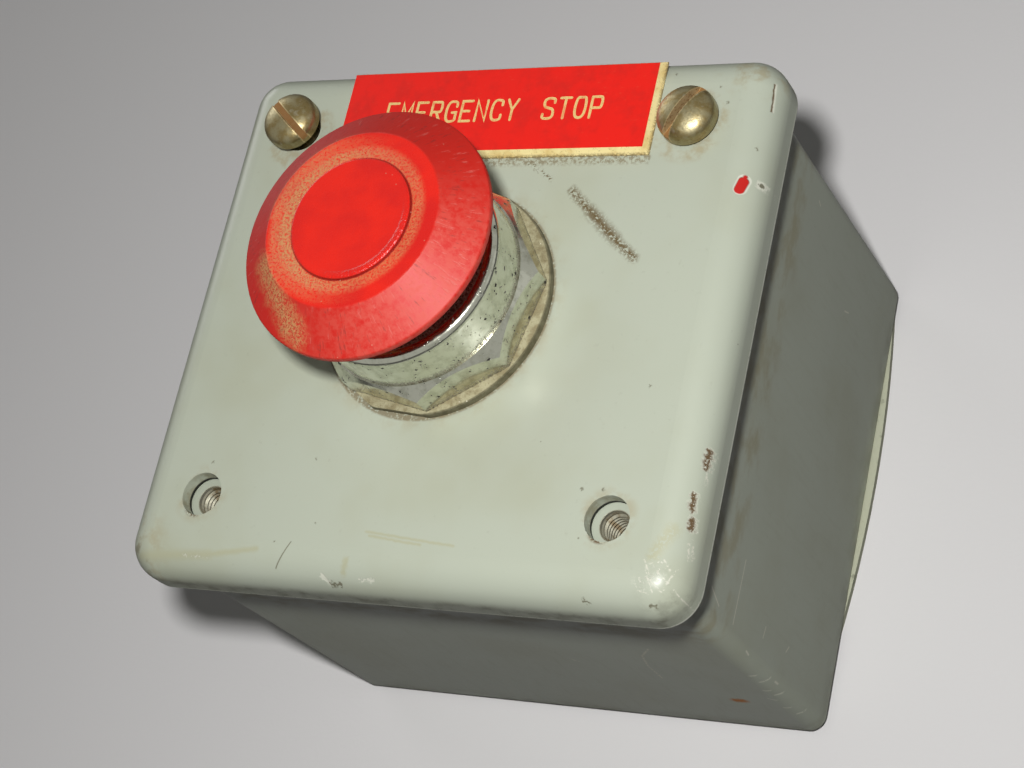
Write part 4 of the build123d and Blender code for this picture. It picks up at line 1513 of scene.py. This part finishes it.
    def build(self, frame: dict[str, Any]) -> None:
        """Dresses the enclosure's nodes and adds the thread ridges.
        """
        lay = self.layout
        dress(frame, ("lid",), LidEnamel("lid_enamel", lay, self.lid_marks()).material())
        body = BodyEnamel("body_enamel", lay, self.body_marks()).material()
        dress(frame, ("enclosure_body", "entry_wall"), body)
        dress(frame, ("lid_posts",), BodyEnamel("post_enamel", lay).material())
        foot = Rubber("base_rubber", tint(150, 152, 130), tint(186, 188, 164), 0.75)
        dress(frame, ("base_gasket",), foot.material())
        dress(frame, ("lid_gasket",), Rubber("lid_rubber").material())
        turns = (-41.0, 60.0)
        slots = tuple((*point, top, turn) for point, top, turn in zip(lay.screws, lay.screw_tops, turns))
        dress(frame, ("lid_screws",), WornBrass("screw_brass", slots).material())
        dress(frame, ("label_plate",), Laminate("label_laminate", lay).material())
        dress(frame, ("earth_screw", "earth_washer"), WornBrass("earth_brass").material())
        words = self.legend.build(lay)
        words.data.materials.append(CutCore("label_core").material())
        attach(words, "box")
        LOG.info("built %s", words.name)
        metal = Moulding("thread_metal", tint(164, 161, 142), tint(120, 104, 76), 0.52, 0.5).material()
        for side, point in zip(("left", "right"), lay.open_holes):
            ridge = self.threads.build(f"post_thread_{side}", point, lay.face)
            ridge.data.materials.append(metal)
            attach(ridge, "box")
            LOG.info("built %s", ridge.name)


@dataclass
class Operator:
    """The push-button: its nut, collar, seals, head, moving rod and springs.

    Attributes:
        layout: Where the station's features are.
        bushing_reach: How far the bushing runs back from the lid's face.
        coils: The springs that a press closes up.
    """

    layout: Layout
    bushing_reach: float = 18.0
    coils: tuple[Coil, ...] = (
        Coil("return_coil", "return_spring", "button", 1.3, 6),
        Coil("carrier_coil", "carrier_spring", "carrier", 0.5, 4),
    )

    def build(self, frame: dict[str, Any]) -> None:
        """Dresses the operator's nodes.
        """
        lay = self.layout
        dress(frame, ("trim_washer",), Fibre("cream_fibre", lay).material())
        dress(frame, ("ring_nut",), Plating("nut_plate", lay, lay.nut_base, lay.nut_top).material())
        collar = Plating("collar_plate", lay, lay.nut_top, lay.collar_top)
        dress(frame, ("bezel_collar",), collar.material())
        bushing = Plating("bushing_plate", lay, lay.face - self.bushing_reach, lay.face)
        dress(frame, ("operator_bushing",), bushing.material())
        seal = Rubber("seal_rubber", tint(38, 32, 31), tint(70, 56, 50), 0.3)
        dress(frame, ("wiper_seal", "panel_seal"), seal.material())
        dress(frame, ("mushroom_head",), HeadPlastic("head_plastic", lay).material())
        nylon = Moulding("plunger_nylon", tint(38, 36, 34), tint(52, 49, 46), 0.38)
        dress(frame, ("plunger",), nylon.material())
        wire = Moulding("spring_steel", tint(150, 150, 148), tint(112, 106, 96), 0.28, 1.0)
        steel = wire.material()
        dress(frame, ("circlip", "return_spring", "contact_spring", "carrier_spring"), steel)
        for coil in self.coils:
            piece = coil.build()
            piece.data.materials.append(steel)
            LOG.info("built %s", piece.name)


@dataclass
class ContactBlock:
    """The contact block behind the operator."""

    def build(self, frame: dict[str, Any]) -> None:
        """Dresses the block's nodes.
        """
        black = Moulding("black_phenolic", tint(40, 38, 36), tint(58, 52, 46), 0.33)
        brown = Moulding("brown_phenolic", tint(92, 56, 34), tint(66, 40, 26), 0.38)
        white = Moulding("white_nylon", tint(222, 216, 198), tint(204, 192, 164), 0.42)
        bright, dull = tint(196, 140, 96), tint(156, 104, 70)
        copper = Moulding("contact_copper", bright, dull, 0.3, 1.0, (0.2, 1.0, 1.0))
        zinc = Moulding("zinc_steel", tint(186, 184, 172), tint(150, 146, 128), 0.32, 1.0)
        dress(frame, ("contact_housing",), black.material())
        dress(frame, ("contact_cover",), brown.material())
        dress(frame, ("contact_carrier",), white.material())
        dress(frame, ("contact_bridge", "fixed_contact_upper", "fixed_contact_lower"), copper.material())
        dress(frame, ("terminal_clamps", "block_screws"), zinc.material())
        dress(frame, ("terminal_screws",), WornBrass("terminal_brass").material())


# ---------------------------------------------------------------- stage
class LampKind(Enum):
    """The shapes of lamp on the stage, as a size in metres."""

    FLASH = 0.025
    SOFTBOX = 0.9


@dataclass(frozen=True)
class Lamp:
    """One area lamp.

    Attributes:
        name: Its name.
        kind: Its shape.
        place: Where it hangs, in metres.
        aim: What it points at, in metres.
        watts: Its power.
        colour: Its colour.
    """

    name: str
    kind: LampKind
    place: Triple
    aim: Triple
    watts: float
    colour: Triple = (1.0, 1.0, 1.0)

    def hang(self) -> bpy.types.Object:
        """Makes the lamp.

        Returns:
            The lamp's object.
        """
        data = bpy.data.lights.new(self.name, "AREA")
        data.shape = "DISK"
        data.size = self.kind.value
        data.energy = self.watts
        data.color = self.colour
        lamp = bpy.data.objects.new(self.name, data)
        lamp.location = self.place
        aim = Vector(self.aim) - Vector(self.place)
        lamp.rotation_euler = aim.to_track_quat("-Z", "Y").to_euler()
        bpy.context.scene.collection.objects.link(lamp)
        return lamp


@dataclass
class Stage:
    """The pale floor, the lamps and the camera.

    Attributes:
        floor_half: Half the floor's side, in metres.
        floor_tone: The floor's colour as it is seen and mirrored.
        floor_bounce: The colour that its light has on the object.
        sky: The surroundings' strength as light, and as they are seen and mirrored.
        sky_tone: Their colour.
        camera_place: The camera's place, in metres.
        camera_turn: Its rotation about X, Y and Z, in degrees.
        lens: Its focal length on a 36 mm sensor.
        shift: Its sideways and upward shift.
    """

    floor_half: float = 4.0
    floor_tone: Colour = tint(226, 224, 223)
    floor_bounce: Colour = tint(48, 47, 47)
    sky: tuple[float, float] = (0.032, 0.45)
    sky_tone: Colour = (1.0, 1.0, 0.96, 1.0)
    camera_place: Triple = (0.17430, -0.12645, 0.34996)
    camera_turn: Triple = (25.986, 24.531, 13.241)
    lens: float = 79.356
    shift: tuple[float, float] = (-0.0229, 0.0049)

    def lamps(self) -> tuple[Lamp, ...]:
        """The lamps: a small one over the front, and a soft one low on each side."""
        aim = (0.0, 0.0, 0.05)
        return (
            Lamp("flash", LampKind.FLASH, (0.1467, -0.1006, 0.3764), aim, 1.25),
            Lamp("left_softbox", LampKind.SOFTBOX, (-1.35, 0.95, 0.34), aim, 4.6),
            Lamp("right_softbox", LampKind.SOFTBOX, (1.45, 0.5, 0.40), aim, 0.3),
        )

    def floor(self) -> bpy.types.Object:
        """Makes the floor, a grid with a faint weave in its relief.

        Returns:
            The floor's object.
        """
        mesh = bmesh.new()
        bmesh.ops.create_grid(mesh, x_segments=8, y_segments=8, size=self.floor_half)
        data = bpy.data.meshes.new("floor")
        mesh.to_mesh(data)
        mesh.free()
        floor = bpy.data.objects.new("floor", data)
        bpy.context.scene.collection.objects.link(floor)
        graph = Graph("floor_paper")
        where = graph.place()
        rays = graph.node("ShaderNodeLightPath", {}, {})
        seen = graph.value(rays, "Is Camera Ray").higher(graph.value(rays, "Is Glossy Ray") * 0.4)
        seen = seen.higher(graph.value(rays, "Is Transmission Ray"))
        colour = graph.blend(self.floor_bounce, self.floor_tone, seen)
        grain = graph.noise(where, 1.2, 3.0, 0.6)
        data.materials.append(graph.surface({"Base Color": colour, "Roughness": 0.9}, grain * 0.03))
        return floor

    def camera(self) -> bpy.types.Object:
        """Makes the camera and sets it as the scene's.

        Returns:
            The camera's object.
        """
        data = bpy.data.cameras.new("camera")
        data.sensor_width = 36.0
        data.lens = self.lens
        data.shift_x, data.shift_y = self.shift
        data.clip_start = 0.01
        camera = bpy.data.objects.new("camera", data)
        camera.location = self.camera_place
        camera.rotation_euler = Euler([math.radians(turn) for turn in self.camera_turn], "XYZ")
        bpy.context.scene.collection.objects.link(camera)
        bpy.context.scene.camera = camera
        return camera

    def build(self) -> None:
        """Sets out the floor, the surrounding light, the lamps and the camera."""
        scene = bpy.context.scene
        scene.view_settings.view_transform = "Standard"
        graph = Graph("studio", bpy.data.worlds)
        rays = graph.node("ShaderNodeLightPath", {}, {})
        seen = graph.value(rays, "Is Camera Ray").higher(graph.value(rays, "Is Glossy Ray"))
        level = seen * (self.sky[1] - self.sky[0]) + self.sky[0]
        light = graph.node("ShaderNodeBackground", {}, {"Color": self.sky_tone, "Strength": level})
        graph.node("ShaderNodeOutputWorld", {}, {"Surface": light.outputs[0]})
        scene.world = graph.owner
        self.floor()
        self.camera()
        for lamp in self.lamps():
            lamp.hang()
            LOG.info("hung %s", lamp.name)


def main() -> None:
    """Builds the station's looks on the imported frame."""
    logging.basicConfig(level=logging.INFO, format="%(name)s: %(message)s")
    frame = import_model()
    layout = Layout.read()
    Enclosure(layout).build(frame)
    Operator(layout).build(frame)
    ContactBlock().build(frame)
    Stage().build()


if __name__ == "__main__":
    main()
